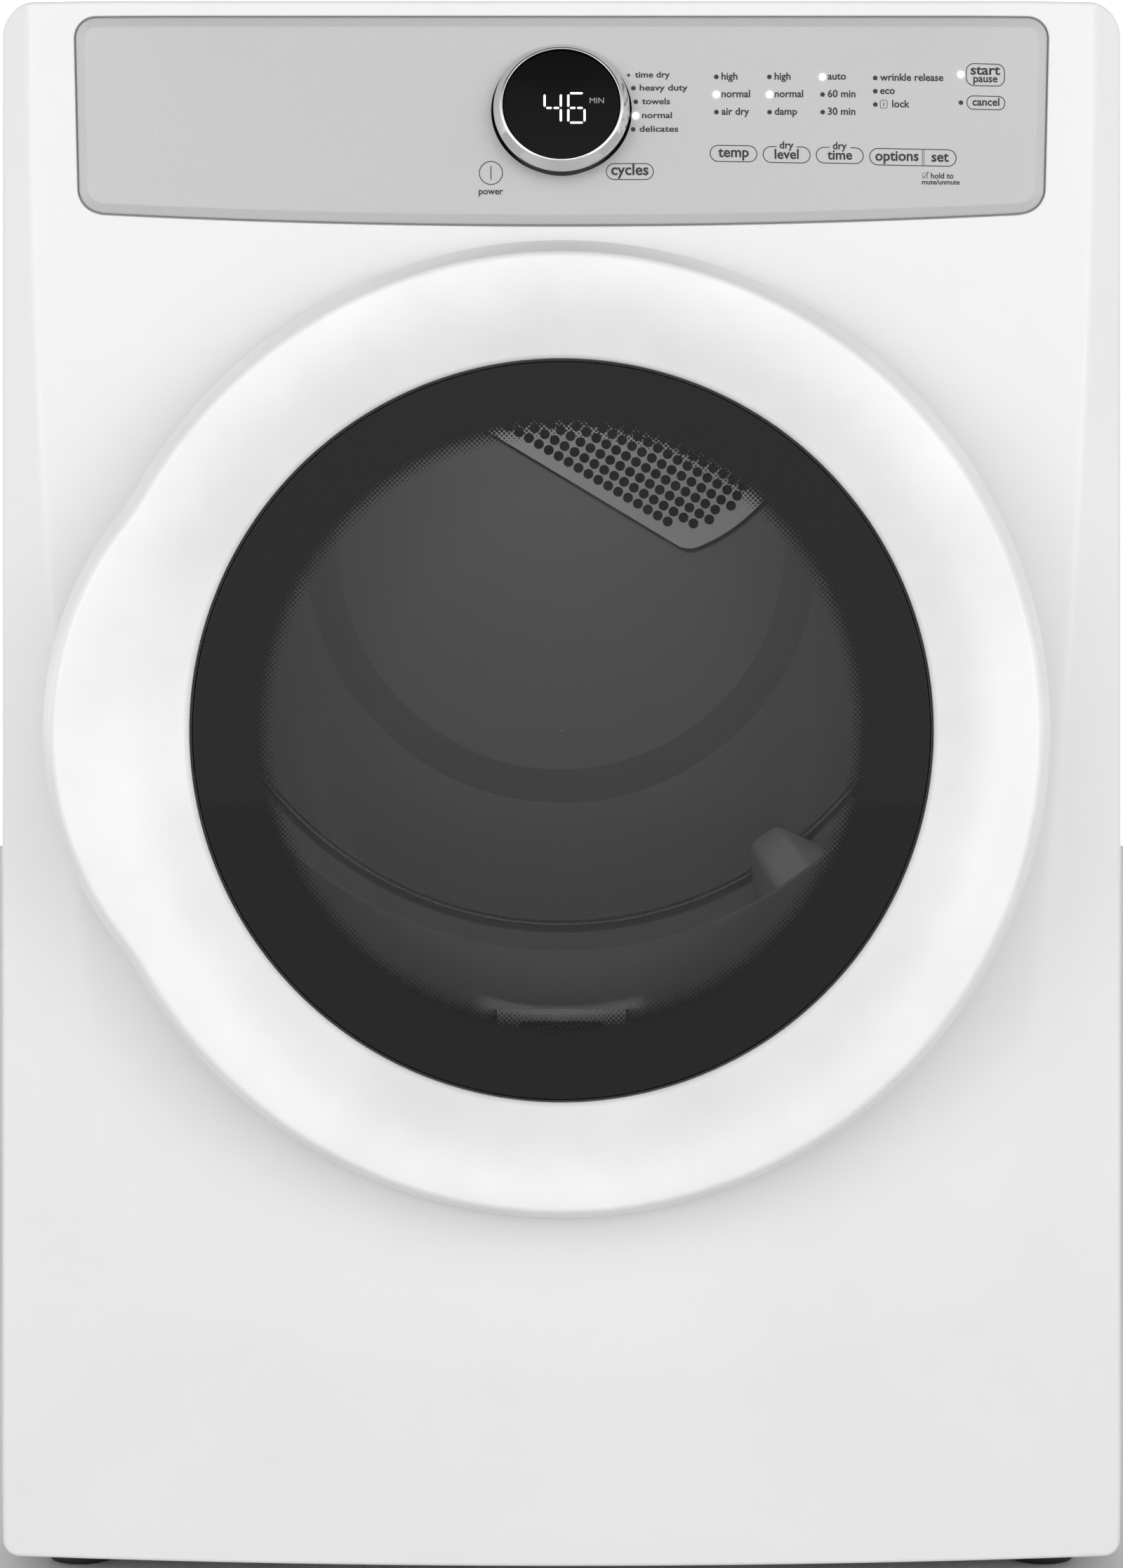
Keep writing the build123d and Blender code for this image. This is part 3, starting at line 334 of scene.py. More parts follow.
def door_glass_material():
    """Dark glass: solid black frit round the rim, fading inwards in a pattern of dots."""
    color = (0.018, 0.018, 0.0185)
    material = plain_material("door_glass_black", color, 0.04, IOR=1.5, Specular_IOR_Level=0.06)
    nodes, links, shader = output_of(material)
    tree = material.node_tree
    where = nodes.new("ShaderNodeTexCoord")
    split = nodes.new("ShaderNodeSeparateXYZ")
    links.new(where.outputs["Object"], split.inputs["Vector"])
    across = split.outputs["X"]
    up = math_node(material, "SUBTRACT", split.outputs["Z"], FRIT_CENTRE_Z)
    square = math_node(material, "ADD", math_node(material, "MULTIPLY", across, across),
                       math_node(material, "MULTIPLY", up, up))
    radius = math_node(material, "SQRT", square)
    dot_size = ranged(tree, radius, (FRIT_INNER_R, FRIT_OUTER_R), (0.02, 0.78))
    offsets = []
    for direction in (1.0, -1.0):
        slanted = math_node(material, "ADD", across, math_node(material, "MULTIPLY", up, direction))
        cell = math_node(material, "FRACT", math_node(material, "DIVIDE", slanted, DOT_PITCH * 1.4142))
        centred = math_node(material, "SUBTRACT", cell, 0.5)
        offsets.append(math_node(material, "MULTIPLY", centred, centred))
    apart = math_node(material, "SQRT", math_node(material, "ADD", *offsets))
    dot = math_node(material, "LESS_THAN", apart, dot_size)
    links.new(ranged(tree, dot, (0.0, 1.0), (0.22, 1.0)), shader.inputs["Alpha"])
    links.new(ranged(tree, dot, (0.0, 1.0), (0.016, 0.020)), shader.inputs["Base Color"])
    add_bump(material, noise_node(material, place_node(material), 6.0, 1.0), 0.02, 0.0002)
    return material


def clear_glass(name, color, cover, roughness):
    """Thin clear glass or a translucent lens."""
    material = plain_material(name, color, roughness, Alpha=cover, IOR=1.5)
    place = place_node(material)
    add_rough(material, noise_node(material, place, 40.0, 4.0), roughness * 0.8, roughness * 1.6)
    add_bump(material, noise_node(material, place, 20.0, 1.0), 0.05, 0.0002)
    return material


def glowing(name, strength, face=0.9):
    """A white light that is on."""
    material = plain_material(name, (face, face, face), 0.4, Emission_Strength=strength)
    spots = noise_node(material, place_node(material), 900.0, 2.0)
    add_tint(material, spots, [(0.0, (0.94, 0.94, 0.94)), (1.0, (1.0, 1.0, 1.0))], "Emission Color")
    return material


def halo_material():
    """Soft glow that fades from the middle of each light to nothing."""
    material = plain_material("light_halo", (0.0, 0.0, 0.0), 0.9, Emission_Strength=1.0,
                              Specular_IOR_Level=0.0)
    nodes, links, shader = output_of(material)
    shader.inputs["Emission Color"].default_value = (1.0, 1.0, 1.0, 1.0)
    where = nodes.new("ShaderNodeTexCoord")
    sphere = nodes.new("ShaderNodeTexGradient")
    sphere.gradient_type = "SPHERICAL"
    links.new(where.outputs["UV"], sphere.inputs["Vector"])
    soft = math_node(material, "POWER", sphere.outputs["Fac"], 2.0)
    links.new(math_node(material, "MULTIPLY", soft, 0.9), shader.inputs["Alpha"])
    return material


def painted_silver():
    """Silver-grey painted fascia with a fine metallic sparkle."""
    color = (0.500, 0.500, 0.505)
    material = plain_material("fascia_silver", color, 0.42, 0.1, Coat_Weight=0.1, Coat_Roughness=0.25)
    place = place_node(material)
    sparkle = noise_node(material, place, 1900.0, 1.0)
    add_tint(material, sparkle, [(0.3, shade(color, 0.95)), (0.7, shade(color, 1.05))])
    add_rough(material, noise_node(material, place, 8.0, 3.0), 0.38, 0.46)
    add_bump(material, sparkle, 0.05, 0.00004)
    return material


white = enamel("cabinet_white", (0.800, 0.800, 0.803), 0.42)
door_white = moulded("door_white", (0.86, 0.86, 0.862), 0.34, 600.0, 0.04)
silver = painted_silver()
chrome = drawn_metal("polished_chrome", (0.80, 0.80, 0.81), 0.10, (1.0, 1.0, 1.0))
gloss_black = plain_material("display_black", (0.002, 0.002, 0.002), 0.12, Specular_IOR_Level=0.12)
add_bump(gloss_black, noise_node(gloss_black, place_node(gloss_black), 14.0, 1.0), 0.02, 0.0002)
ink = moulded("printed_grey", (0.022, 0.022, 0.024), 0.6, 1500.0, 0.1)
dot_black = moulded("light_off", (0.006, 0.006, 0.006), 0.35, 800.0, 0.05)
lit = glowing("light_on", 3.0)
digits_lit = glowing("digits_on", 0.9)
unit_lit = glowing("unit_on", 0.30, 0.05)
duct_shadow = drawn_metal("duct_shadow", (0.07, 0.07, 0.072), 0.6, (1.0, 1.0, 6.0), 0.3)
sensor_steel = drawn_metal("sensor_steel", (0.10, 0.10, 0.102), 0.5, (6.0, 1.0, 1.0))
halo = halo_material()
glass_black = door_glass_material()
bowl = clear_glass("bowl_clear", (0.30, 0.31, 0.31), 0.05, 0.05)
drum_grey = enamel("drum_grey", (0.30, 0.303, 0.306), 0.34, 0.04)
wall_grey = enamel("bulkhead_grey", (0.24, 0.243, 0.246), 0.42, 0.05)
grille_grey = enamel("grille_grey", (0.66, 0.665, 0.67), 0.36, 0.05)
galvanised = zinc("galvanised_sheet")
steel = drawn_metal("rolled_steel", (0.55, 0.56, 0.57), 0.36, (1.0, 6.0, 1.0))
shaft_steel = drawn_metal("ground_steel", (0.62, 0.63, 0.64), 0.24, (8.0, 1.0, 8.0))
spring_steel = drawn_metal("spring_wire", (0.48, 0.49, 0.50), 0.3, (3.0, 3.0, 12.0))
heated_wire = drawn_metal("heating_wire", (0.22, 0.19, 0.17), 0.6, (12.0, 3.0, 1.0))
grey_plastic = moulded("grey_plastic", (0.52, 0.525, 0.53), 0.45)
baffle_plastic = moulded("baffle_plastic", (0.47, 0.475, 0.48), 0.4, 500.0, 0.15)
black_plastic = moulded("black_plastic", (0.02, 0.02, 0.021), 0.5)
duct_plastic = moulded("duct_plastic", (0.16, 0.16, 0.165), 0.55, 500.0, 0.4)
black_rubber = rubbery("black_rubber", (0.022, 0.022, 0.022), 0.75)
tread_rubber = rubbery("tread_rubber", (0.035, 0.033, 0.03), 0.8)
seal_rubber = rubbery("seal_rubber", (0.22, 0.22, 0.225), 0.7)
belt_rubber = ribbed_rubber("belt_rubber")
felt = felted("lip_felt", (0.42, 0.40, 0.37))
motor_paint = motor_black("motor_paint")
board = board_green("circuit_board")
lint_screen = screen_mesh("lint_screen")
lamp_lens = clear_glass("lamp_lens", (0.82, 0.82, 0.78), 0.8, 0.3)
ceramic = moulded("terminal_phenolic", (0.05, 0.04, 0.035), 0.4, 700.0, 0.3)

finishes = (
    (white, "side_panel_left side_panel_right top_panel"),
    (galvanised, "rear_panel base_pan heater_box terminal_cover exhaust_duct motor_mount"),
    (wall_grey, "front_bulkhead rear_bulkhead"),
    (steel, "thermostats cabinet_screws cabinet_hinge_leaf idler_arm door_strike"),
    (steel, "door_hinge_brackets door_screws"),
    (shaft_steel, "motor_shaft motor_pulley roller_axles hinge_pin"),
    (black_plastic, "door_catch door_switch_body blower_wheel idler_pulley"),
    (grey_plastic, "door_switch_plunger door_inner_panel"),
    (duct_plastic, "lint_duct blower_housing"),
    (felt, "front_drum_seal rear_drum_seal"),
    (tread_rubber, "drum_roller_left drum_roller_right"),
    (black_rubber, "foot_front_left foot_front_right foot_rear_left foot_rear_right"),
    (grille_grey, "air_inlet_grille"), (duct_shadow, "rear_air_duct"), (heated_wire, "heater_coil"),
    (ceramic, "terminal_block"), (board, "control_board"), (sensor_steel, "moisture_sensors"),
    (lamp_lens, "drum_light"), (lint_screen, "lint_filter"), (motor_paint, "motor_body"),
    (spring_steel, "idler_spring"), (belt_rubber, "drive_belt"), (drum_grey, "drum_shell"),
    (baffle_plastic, "drum_baffles"), (bowl, "door_inner_window"), (seal_rubber, "door_seal"),
)
for material, node_names in finishes:
    for node in node_names.split():
        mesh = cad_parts[node].data
        mesh.materials.clear()
        mesh.materials.append(material)


# ---- mesh helpers ----
def add_piece(name, points, faces, material, body, replaced=(), smooth=True):
    """A mesh piece that rides on a body and takes the material it is given."""
    mesh = bpy.data.meshes.new(name)
    mesh.from_pydata([tuple(p) for p in points], [], [tuple(int(i) for i in f) for f in faces])
    mesh.validate()
    mesh.materials.append(material)
    if smooth:
        mesh.shade_smooth()
    piece = bpy.data.objects.new(name, mesh)
    bpy.context.scene.collection.objects.link(piece)
    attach(piece, body)
    if replaced:
        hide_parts(*replaced)
    return piece


class Build:
    """Collects points, faces and normals of one piece."""

    def __init__(self):
        self.points = []
        self.faces = []
        self.normals = []
        self.count = 0

    def add(self, points, faces, normals):
        """Adds a patch of points with their normals."""
        points = np.asarray(points, float)
        self.points.append(points)
        self.normals.append(np.asarray(normals, float))
        self.faces.extend([tuple(int(i) + self.count for i in f) for f in faces])
        self.count += len(points)

    def strip(self, loop_a, loop_b, normals):
        """A band of quads between two closed loops of the same length, facing along the normals."""
        n = len(loop_a)
        faces = [(i, (i + 1) % n, n + (i + 1) % n, n + i) for i in range(n)]
        turned = np.cross(np.diff(loop_a, axis=0), (loop_b - loop_a)[:-1])
        if np.sum(turned * np.asarray(normals)[:-1]) < 0.0:
            faces = [face[::-1] for face in faces]
        self.add(np.vstack([loop_a, loop_b]), faces, np.vstack([normals, normals]))

    def piece(self, name, material, body, slot, replaced=()):
        """Makes the piece, with its exact normals."""
        points = np.vstack(self.points)
        made = add_piece(name, points, self.faces, material, body, replaced)
        normals = np.vstack(self.normals)
        normals = normals / np.linalg.norm(normals, axis=1)[:, None]
        made.data.normals_split_custom_set_from_vertices([tuple(n) for n in normals])


def grid_faces(rows, columns, wrap_rows=False, wrap_columns=False):
    """Quads of a grid of points numbered row by row."""
    faces = []
    for r in range(rows if wrap_rows else rows - 1):
        for c in range(columns if wrap_columns else columns - 1):
            r2 = (r + 1) % rows
            c2 = (c + 1) % columns
            faces.append((r * columns + c, r * columns + c2, r2 * columns + c2, r2 * columns + c))
    return faces


def spread(points, spacing):
    """Points spaced evenly round a closed line."""
    points = np.asarray(points, float)
    points = np.vstack([points, points[:1]])
    steps = np.linalg.norm(np.diff(points, axis=0), axis=1)
    along = np.concatenate([[0.0], np.cumsum(steps)])
    count = max(8, int(along[-1] / spacing))
    at = np.linspace(0.0, along[-1], count, endpoint=False)
    return np.column_stack([np.interp(at, along, points[:, k]) for k in range(2)])


def arc(cx, cz, radius, start, end, count):
    """Points on an arc, angles in degrees."""
    turns = np.radians(np.linspace(start, end, count))
    return np.column_stack([cx + radius * np.cos(turns), cz + radius * np.sin(turns)])


def circle(cx, cz, radius, count):
    """Points round a whole circle."""
    return arc(cx, cz, radius, 0, 360, count + 1)[:-1]


def loop_normals(loop):
    """Outward unit normals of a loop that runs counter-clockwise."""
    ahead = np.roll(loop, -1, axis=0) - np.roll(loop, 1, axis=0)
    ahead /= np.linalg.norm(ahead, axis=1)[:, None]
    return np.column_stack([ahead[:, 1], -ahead[:, 0]])


def inset_loop(loop, inset):
    """The loop moved inwards."""
    return loop - loop_normals(loop) * inset


def tree_of(points):
    """A search tree over flat points."""
    tree = KDTree(len(points))
    for index, p in enumerate(points):
        tree.insert((p[0], p[1], 0.0), index)
    tree.balance()
    return tree


def depth_inside(points, loop):
    """Distance from a loop, positive inside, and the direction inwards."""
    tree = tree_of(loop)
    normals = loop_normals(loop)
    depth = np.zeros(len(points))
    inward = np.zeros((len(points), 2))
    for row, p in enumerate(points):
        _, index, _ = tree.find((p[0], p[1], 0.0))
        depth[row] = -(p - loop[index]) @ normals[index]
        inward[row] = -normals[index]
    return depth, inward


def filled(loops, lines, spacing, keep):
    """Points and triangles that fill the area where keep is true, following the loops and lines."""
    points = np.vstack([*loops, *lines])
    edges = []
    start = 0
    for loop in loops:
        n = len(loop)
        edges += [(start + i, start + (i + 1) % n) for i in range(n)]
        start += n
    for line in lines:
        n = len(line)
        edges += [(start + i, start + i + 1) for i in range(n - 1)]
        start += n
    tree = tree_of(points)
    low, high = points.min(0), points.max(0)
    rows = int((high[1] - low[1]) / (spacing * 0.866)) + 1
    inner = []
    for row in range(rows):
        z = low[1] + row * spacing * 0.866
        xs = np.arange(low[0] + (row % 2) * spacing / 2, high[0], spacing)
        inner.append(np.column_stack([xs, np.full(len(xs), z)]))
    inner = np.vstack(inner)
    inner = inner[keep(inner)]
    far = [tree.find((p[0], p[1], 0.0))[2] > spacing * 0.55 for p in inner]
    points = np.vstack([points, inner[np.array(far, bool)]])
    made = delaunay_2d_cdt([Vector(p) for p in points], edges, [], 0, 1e-7)
    placed = np.array([tuple(p) for p in made[0]])
    triangles = np.array([tuple(f) for f in made[2]])
    centre = placed[triangles].mean(axis=1)
    triangles = triangles[keep(centre)]
    a, b, c = (placed[triangles[:, k]] for k in range(3))
    area = (b[:, 0] - a[:, 0]) * (c[:, 1] - a[:, 1]) - (b[:, 1] - a[:, 1]) * (c[:, 0] - a[:, 0])
    triangles[area < 0] = triangles[area < 0][:, ::-1]
    return placed, triangles


# ---- the cabinet's front ----
def soft_max(a, b, blend):
    """The larger of two values, rounded where they meet."""
    share = np.clip(0.5 + 0.5 * (a - b) / blend, 0.0, 1.0)
    return b + (a - b) * share + blend * share * (1.0 - share)


def crease_inset(z):
    """Distance of the side crease from the cabinet's side."""
    return 0.018 + 0.051 * (np.clip(HEIGHT - z, 0.0, None) / 0.750) ** 1.9


def front_y(x, z):
    """Depth of the front surface: bowed middle, sloped sides, leaning top and slanting skirt."""
    bow = (x / HALF) ** 2
    middle = MID_Y + BOW * bow
    inset = crease_inset(z)
    crease_x = HALF - inset
    crease_y = MID_Y + BOW * (crease_x / HALF) ** 2
    side = crease_y + (np.abs(x) - crease_x) * (EDGE_Y - crease_y) / inset
    lean = MID_Y + (z - LEAN_START) * LEAN
    skirt = SKIRT_Y + SKIRT_BOW * bow - (z - PANEL_LOW) * SKIRT_SLOPE
    y = soft_max(side, middle, 0.0012)
    y = soft_max(lean, y, 0.0020)
    return soft_max(skirt, y, 0.0005)


def front_slope(x, z):
    """Slopes of the front surface along x and z."""
    step = 2e-4
    along_x = (front_y(x + step, z) - front_y(x - step, z)) / (2 * step)
    along_z = (front_y(x, z + step) - front_y(x, z - step)) / (2 * step)
    return along_x, along_z


def rounding(depth, radius):
    """How far an edge rounding drops back at a depth inside the edge, and its slope."""
    inside = np.clip(radius - depth, 0.0, radius)
    root = np.sqrt(np.clip(radius ** 2 - inside ** 2, (0.06 * radius) ** 2, None))
    drop = radius - np.sqrt(np.clip(radius ** 2 - inside ** 2, 0.0, None))
    return drop, -inside / root


def surface_patch(build, placed, triangles, inward, drop, slope, proud=0.0):
    """Adds a patch that lies on the front surface, with edge roundings."""
    x, z = placed[:, 0], placed[:, 1]
    y = front_y(x, z) - proud + drop
    along_x, along_z = front_slope(x, z)
    along_x = along_x + slope * inward[:, 0]
    along_z = along_z + slope * inward[:, 1]
    normals = np.column_stack([along_x, -np.ones(len(x)), along_z])
    build.add(np.column_stack([x, y, z]), triangles, normals)


def at_y(loop, y):
    """A loop in x and z placed at depth y."""
    return np.column_stack([loop[:, 0], np.broadcast_to(y, len(loop)), loop[:, 1]])


def upright(normals):
    """Normals of a wall that runs straight back."""
    return np.column_stack([normals[:, 0], np.zeros(len(normals)), normals[:, 1]])


def facing_front(count):
    """Normals of a flat face that looks forwards."""
    return np.tile([0.0, -1.0, 0.0], (count, 1))


def cabinet_loop():
    """Front view of the cabinet, counter-clockwise."""
    top, low = TOP_CORNER, LOW_CORNER
    corners = [
        arc(HALF - low, PANEL_LOW + low, low, -90, 0, 12),
        arc(HALF - top, HEIGHT - top, top, 0, 90, 20),
        arc(-HALF + top, HEIGHT - top, top, 90, 180, 20),
        arc(-HALF + low, PANEL_LOW + low, low, 180, 270, 12),
    ]
    return spread(np.vstack(corners), 0.0025)


def fascia_loop():
    """Console outline: straight top and sides, arched bottom, round corners, counter-clockwise."""
    top, corner, bottom = 0.9545, 0.8365, 0.8275
    half_top, half_low = 0.296, 0.294
    bend = (half_low ** 2 + (corner - bottom) ** 2) / (2 * (corner - bottom))
    reach = math.degrees(math.asin((half_low - 0.0145) / bend))
    arch = arc(0.0, bottom + bend, bend, -90 - reach, -90 + reach, 120)
    tilt = math.degrees(math.atan2(half_top - half_low, top - corner))
    low_corner = arc(half_low - 0.0152, corner + 0.0145, 0.015, -87, -tilt, 14)
    top_corner = arc(half_top - 0.0121, top - 0.012, 0.012, -tilt, 90, 14)
    right = np.vstack([low_corner, top_corner])
    left = right[::-1] * np.array([-1.0, 1.0])
    return spread(np.vstack([arch, right, left]), 0.0022)


def crease_lines():
    """Lines that follow the two side creases."""
    heights = np.linspace(PANEL_LOW + 0.006, HEIGHT - 0.006, 220)
    lines = []
    for side in (-1, 1):
        for offset in (-0.006, -0.003, 0.0, 0.003, 0.006):
            x = side * (HALF - crease_inset(heights) + offset)
            inside = np.abs(x) < HALF - 0.0045
            lines.append(np.column_stack([x[inside], heights[inside]]))
    return lines


def make_front_panel():
    """Pressed front panel: rounded edges, console opening, door seat and door opening."""
    outline = cabinet_loop()
    fascia = inset_loop(fascia_loop(), -CONSOLE_GAP)
    seat = circle(0.0, DOOR_Z, SEAT_R, 480)
    seat_edge = circle(0.0, DOOR_Z, SEAT_R + 0.0012, 480)
    build = Build()

    def keep(points):
        depth, _ = depth_inside(points, outline)
        hole, _ = depth_inside(points, fascia)
        reach = np.hypot(points[:, 0], points[:, 1] - DOOR_Z)
        return (depth > 1e-6) & (hole < -1e-6) & (reach > SEAT_R + 1e-6)

    insets = [0.0, 0.0003, 0.0009, 0.0018, EDGE_ROUND]
    loops = [inset_loop(outline, inset) for inset in insets]
    loops += [fascia, inset_loop(fascia, -PANEL_LIP), seat, seat_edge]
    placed, triangles = filled(loops, crease_lines(), PANEL_SPACING, keep)
    depth, inward = depth_inside(placed, outline)
    drop, slope = rounding(np.clip(depth, 0.0, None), EDGE_ROUND)
    hole, into_hole = depth_inside(placed, fascia)
    lip_drop, lip_slope = rounding(np.clip(-hole, 0.0, PANEL_LIP), PANEL_LIP)
    near = hole > -PANEL_LIP
    inward = np.where(near[:, None], -into_hole, inward)
    drop = np.where(near, lip_drop, drop)
    slope = np.where(near, lip_slope, slope)
    surface_patch(build, placed, triangles, inward, drop, slope)

    edge_y = front_y(outline[:, 0], outline[:, 1]) + EDGE_ROUND
    build.strip(at_y(outline, edge_y), at_y(outline, RETURN_Y), upright(loop_normals(outline)))
    hole_y = front_y(fascia[:, 0], fascia[:, 1]) + PANEL_LIP
    build.strip(at_y(fascia, hole_y), at_y(fascia, hole_y + PANEL_TURN_IN), -upright(loop_normals(fascia)))
    seat_y = front_y(seat[:, 0], seat[:, 1])
    build.strip(at_y(seat, seat_y), at_y(seat, SEAT_Y), upright(loop_normals(seat)))
    add_seat(build, seat)
    build.piece("front_panel_skin", white, "cabinet", "white_enamel", ("front_panel",))


def add_seat(build, seat):
    """Flat seat behind the door, with the strike slot and the switch hole."""
    switch_r, slot_x, slot_z = 0.0044, 0.007, 0.011
    mouth = circle(0.0, DOOR_Z, OPENING_R, 360)
    switch = circle(*SWITCH, switch_r, 32)
    cx, cz = CATCH
    corners = [(cx - slot_x, cz - slot_z), (cx + slot_x, cz - slot_z), (cx + slot_x, cz + slot_z),
               (cx - slot_x, cz + slot_z)]
    slot = spread(corners, 0.002)

    def keep(points):
        reach = np.hypot(points[:, 0], points[:, 1] - DOOR_Z)
        apart = np.hypot(points[:, 0] - SWITCH[0], points[:, 1] - SWITCH[1])
        in_slot = (np.abs(points[:, 0] - cx) < slot_x) & (np.abs(points[:, 1] - cz) < slot_z)
        return (reach < SEAT_R) & (reach > OPENING_R) & (apart > switch_r) & ~in_slot

    placed, triangles = filled([seat, mouth, switch, slot], [], SEAT_SPACING, keep)
    build.add(at_y(placed, SEAT_Y), triangles, facing_front(len(placed)))
    for loop, depth in ((mouth, 0.002), (switch, 0.001), (slot, 0.001)):
        build.strip(at_y(loop, SEAT_Y), at_y(loop, SEAT_Y + depth), -upright(loop_normals(loop)))


def make_fascia():
    """Console fascia: a proud face inside a sloping border, with a flange behind the gap."""
    outline = fascia_loop()
    build = Build()
    dial = dial_opening()

    def keep(points):
        depth, _ = depth_inside(points, outline)
        hole, _ = depth_inside(points, dial)
        return (depth > 1e-6) & (hole < -1e-6)

    insets = [0.0, 0.0002, 0.0006, FASCIA_ROUND]
    insets += [BEVEL + offset for offset in (-0.0006, -0.0002, 0.0002, 0.0006)]
    loops = [inset_loop(outline, inset) for inset in insets] + [dial]
    placed, triangles = filled(loops, [], PANEL_SPACING, keep)
    depth, inward = depth_inside(placed, outline)
    drop, slope = rounding(np.clip(depth, 0.0, None), FASCIA_ROUND)
    border = np.clip((BEVEL - depth) / BEVEL, 0.0, 1.0)
    on_border = 1.0 / (1.0 + np.exp((depth - BEVEL) / 0.00022))
    drop = drop + BEVEL_DROP * border
    slope = slope - (BEVEL_DROP / BEVEL) * on_border
    surface_patch(build, placed, triangles, inward, drop, slope, PROUD)
    edge_y = front_y(outline[:, 0], outline[:, 1]) - PROUD + BEVEL_DROP + FASCIA_ROUND
    back_y = edge_y + FASCIA_WALL
    build.strip(at_y(outline, edge_y), at_y(outline, back_y), upright(loop_normals(outline)))
    flange = inset_loop(outline, -FASCIA_FLANGE)
    build.strip(at_y(outline, back_y), at_y(flange, back_y), facing_front(len(outline)))
    build.piece("console_face", silver, "cabinet", "console_grey", ("console_fascia",))


# ---- the display ----
def dial_frame():
    """Matrix of the display: its axis leans back and points outwards along local z."""
    turn = Matrix.Rotation(math.radians(90) - DIAL_LEAN, 4, "X")
    return Matrix.Translation((0.0, DIAL_Y, DIAL_Z)) @ turn


def on_dial(points):
    """Points of the display's own frame, placed on the dryer."""
    matrix = np.array(dial_frame())
    points = np.asarray(points, float)
    return points @ matrix[:3, :3].T + matrix[:3, 3]


def dial_opening():
    """The oval opening in the console behind the display ring."""
    turns = np.radians(np.arange(0, 360, 3.0))
    half_x, half_z = DIAL_HOLE
    return np.column_stack([half_x * np.cos(turns), DIAL_HOLE_Z + half_z * np.sin(turns)])


def turned_on_dial(name, profile, material, replaced, steps=192):
    """A piece turned about the display's axis from (radius, height) points."""
    turns = np.radians(np.arange(steps) * 360.0 / steps)
    across, up = np.cos(turns), np.sin(turns)
    points = [np.column_stack([radius * across, radius * up, np.full(steps, height)])
              for radius, height in profile]
    faces = grid_faces(len(profile), steps, wrap_columns=True)
    add_piece(name, on_dial(np.vstack(points)), faces, material, "cabinet", replaced)


def rounded_profile(corners, radius_of, count=6):
    """A profile whose inner corners are rounded, each by its own radius."""
    points = [corners[0]]
    for before, here, after, radius in zip(corners, corners[1:], corners[2:], radius_of):
        a, b, c = (np.array(p, float) for p in (before, here, after))
        into = (b - a) / np.linalg.norm(b - a)
        out = (c - b) / np.linalg.norm(c - b)
        reach = min(radius, 0.45 * np.linalg.norm(b - a), 0.45 * np.linalg.norm(c - b))
        start, end = b - into * reach, b + out * reach
        for t in np.linspace(0, 1, count):
            points.append(tuple((1 - t) ** 2 * start + 2 * t * (1 - t) * b + t ** 2 * end))
    points.append(corners[-1])
    return points


def make_display():
    """Chrome ring and black lens with the time left in bright segments."""
    corners = [(DIAL_R - 0.0050, -0.0052), (DIAL_R - 0.0018, -0.0030), (DIAL_R - 0.0006, -0.0018),
               (DIAL_R - 0.0014, -0.0002), (LENS_R + 0.0019, 0.0044), (LENS_R + 0.0005, 0.0050),
               (LENS_R + 0.0001, 0.0042), (LENS_R + 0.0001, -0.0040)]
    profile = rounded_profile(corners, [0.0008, 0.0012, 0.0014, 0.0010, 0.0005, 0.0004])
    turned_on_dial("display_ring", profile, chrome, ("display_bezel",))
    lens = rounded_profile([(0.0, 0.0032), (LENS_R - 0.0006, 0.0030), (LENS_R - 0.0002, 0.0026),
                            (LENS_R - 0.0002, 0.0)], [0.0004, 0.0003])
    turned_on_dial("display_face", lens, gloss_black, ("display_lens",))
    # Black neck with an outer flange behind the ring: a black housing part, and also a dark backing that
    # shows through the gap round the ring as painted shade.
    neck = [(DIAL_R - 0.0036, -0.0040), (DIAL_R - 0.0036, -0.0190), (DIAL_R + 0.0026, -0.0196)]
    turned_on_dial("display_neck", neck, black_plastic, ())
    make_digits()


SEGMENTS = {
    "a": (0.5, 1.0, 0), "g": (0.5, 0.5, 0), "d": (0.5, 0.0, 0),
    "f": (0.0, 0.75, 1), "b": (1.0, 0.75, 1), "e": (0.0, 0.25, 1), "c": (1.0, 0.25, 1),
}


def bar(cx, cy, length, width, standing):
    """A bar with cut corners about a centre."""
    a, b, cut = length / 2, width / 2, width * 0.35
    shape = [(-a, -b + cut), (-a + cut, -b), (a - cut, -b), (a, -b + cut), (a, b - cut), (a - cut, b),
             (-a + cut, b), (-a, b - cut)]
    if standing:
        shape = [(-q, p) for p, q in shape]
    return [(cx + p, cy + q) for p, q in shape]


def make_digits():
    """The number 46 in seven-segment bars, and the unit beside it."""
    points, faces = [], []
    wide, high, thick, face = 0.0098, 0.0190, 0.00132, 0.00345
    for shown, left in (("fgbc", -0.0102), ("afgedc", 0.0041)):
        for key in shown:
            across, up, standing = SEGMENTS[key]
            cx = left + across * wide
            cy = -0.0118 + up * high
            pieces = [(cx, 0.0080 if standing else 0.0077)]
            if key == "g":
                pieces = [(cx - 0.0022, 0.0034), (cx + 0.0022, 0.0034)]
            for px, length in pieces:
                shape = bar(px, cy, length, thick, standing)
                faces.append(tuple(range(len(points), len(points) + len(shape))))
                points += [(x, y, face) for x, y in shape]
    letters, letter_faces = text_outline("MIN", 0.0040, 0.0)
    scale = 0.0086 / (letters[:, 0].max() - letters[:, 0].min())
    unit = [(0.0166 + x, 0.0008 + y, face) for x, y in letters * scale]
    add_piece("display_digits", on_dial(points), faces, digits_lit, "cabinet", smooth=False)
    add_piece("display_unit", on_dial(unit), letter_faces, unit_lit, "cabinet", smooth=False)


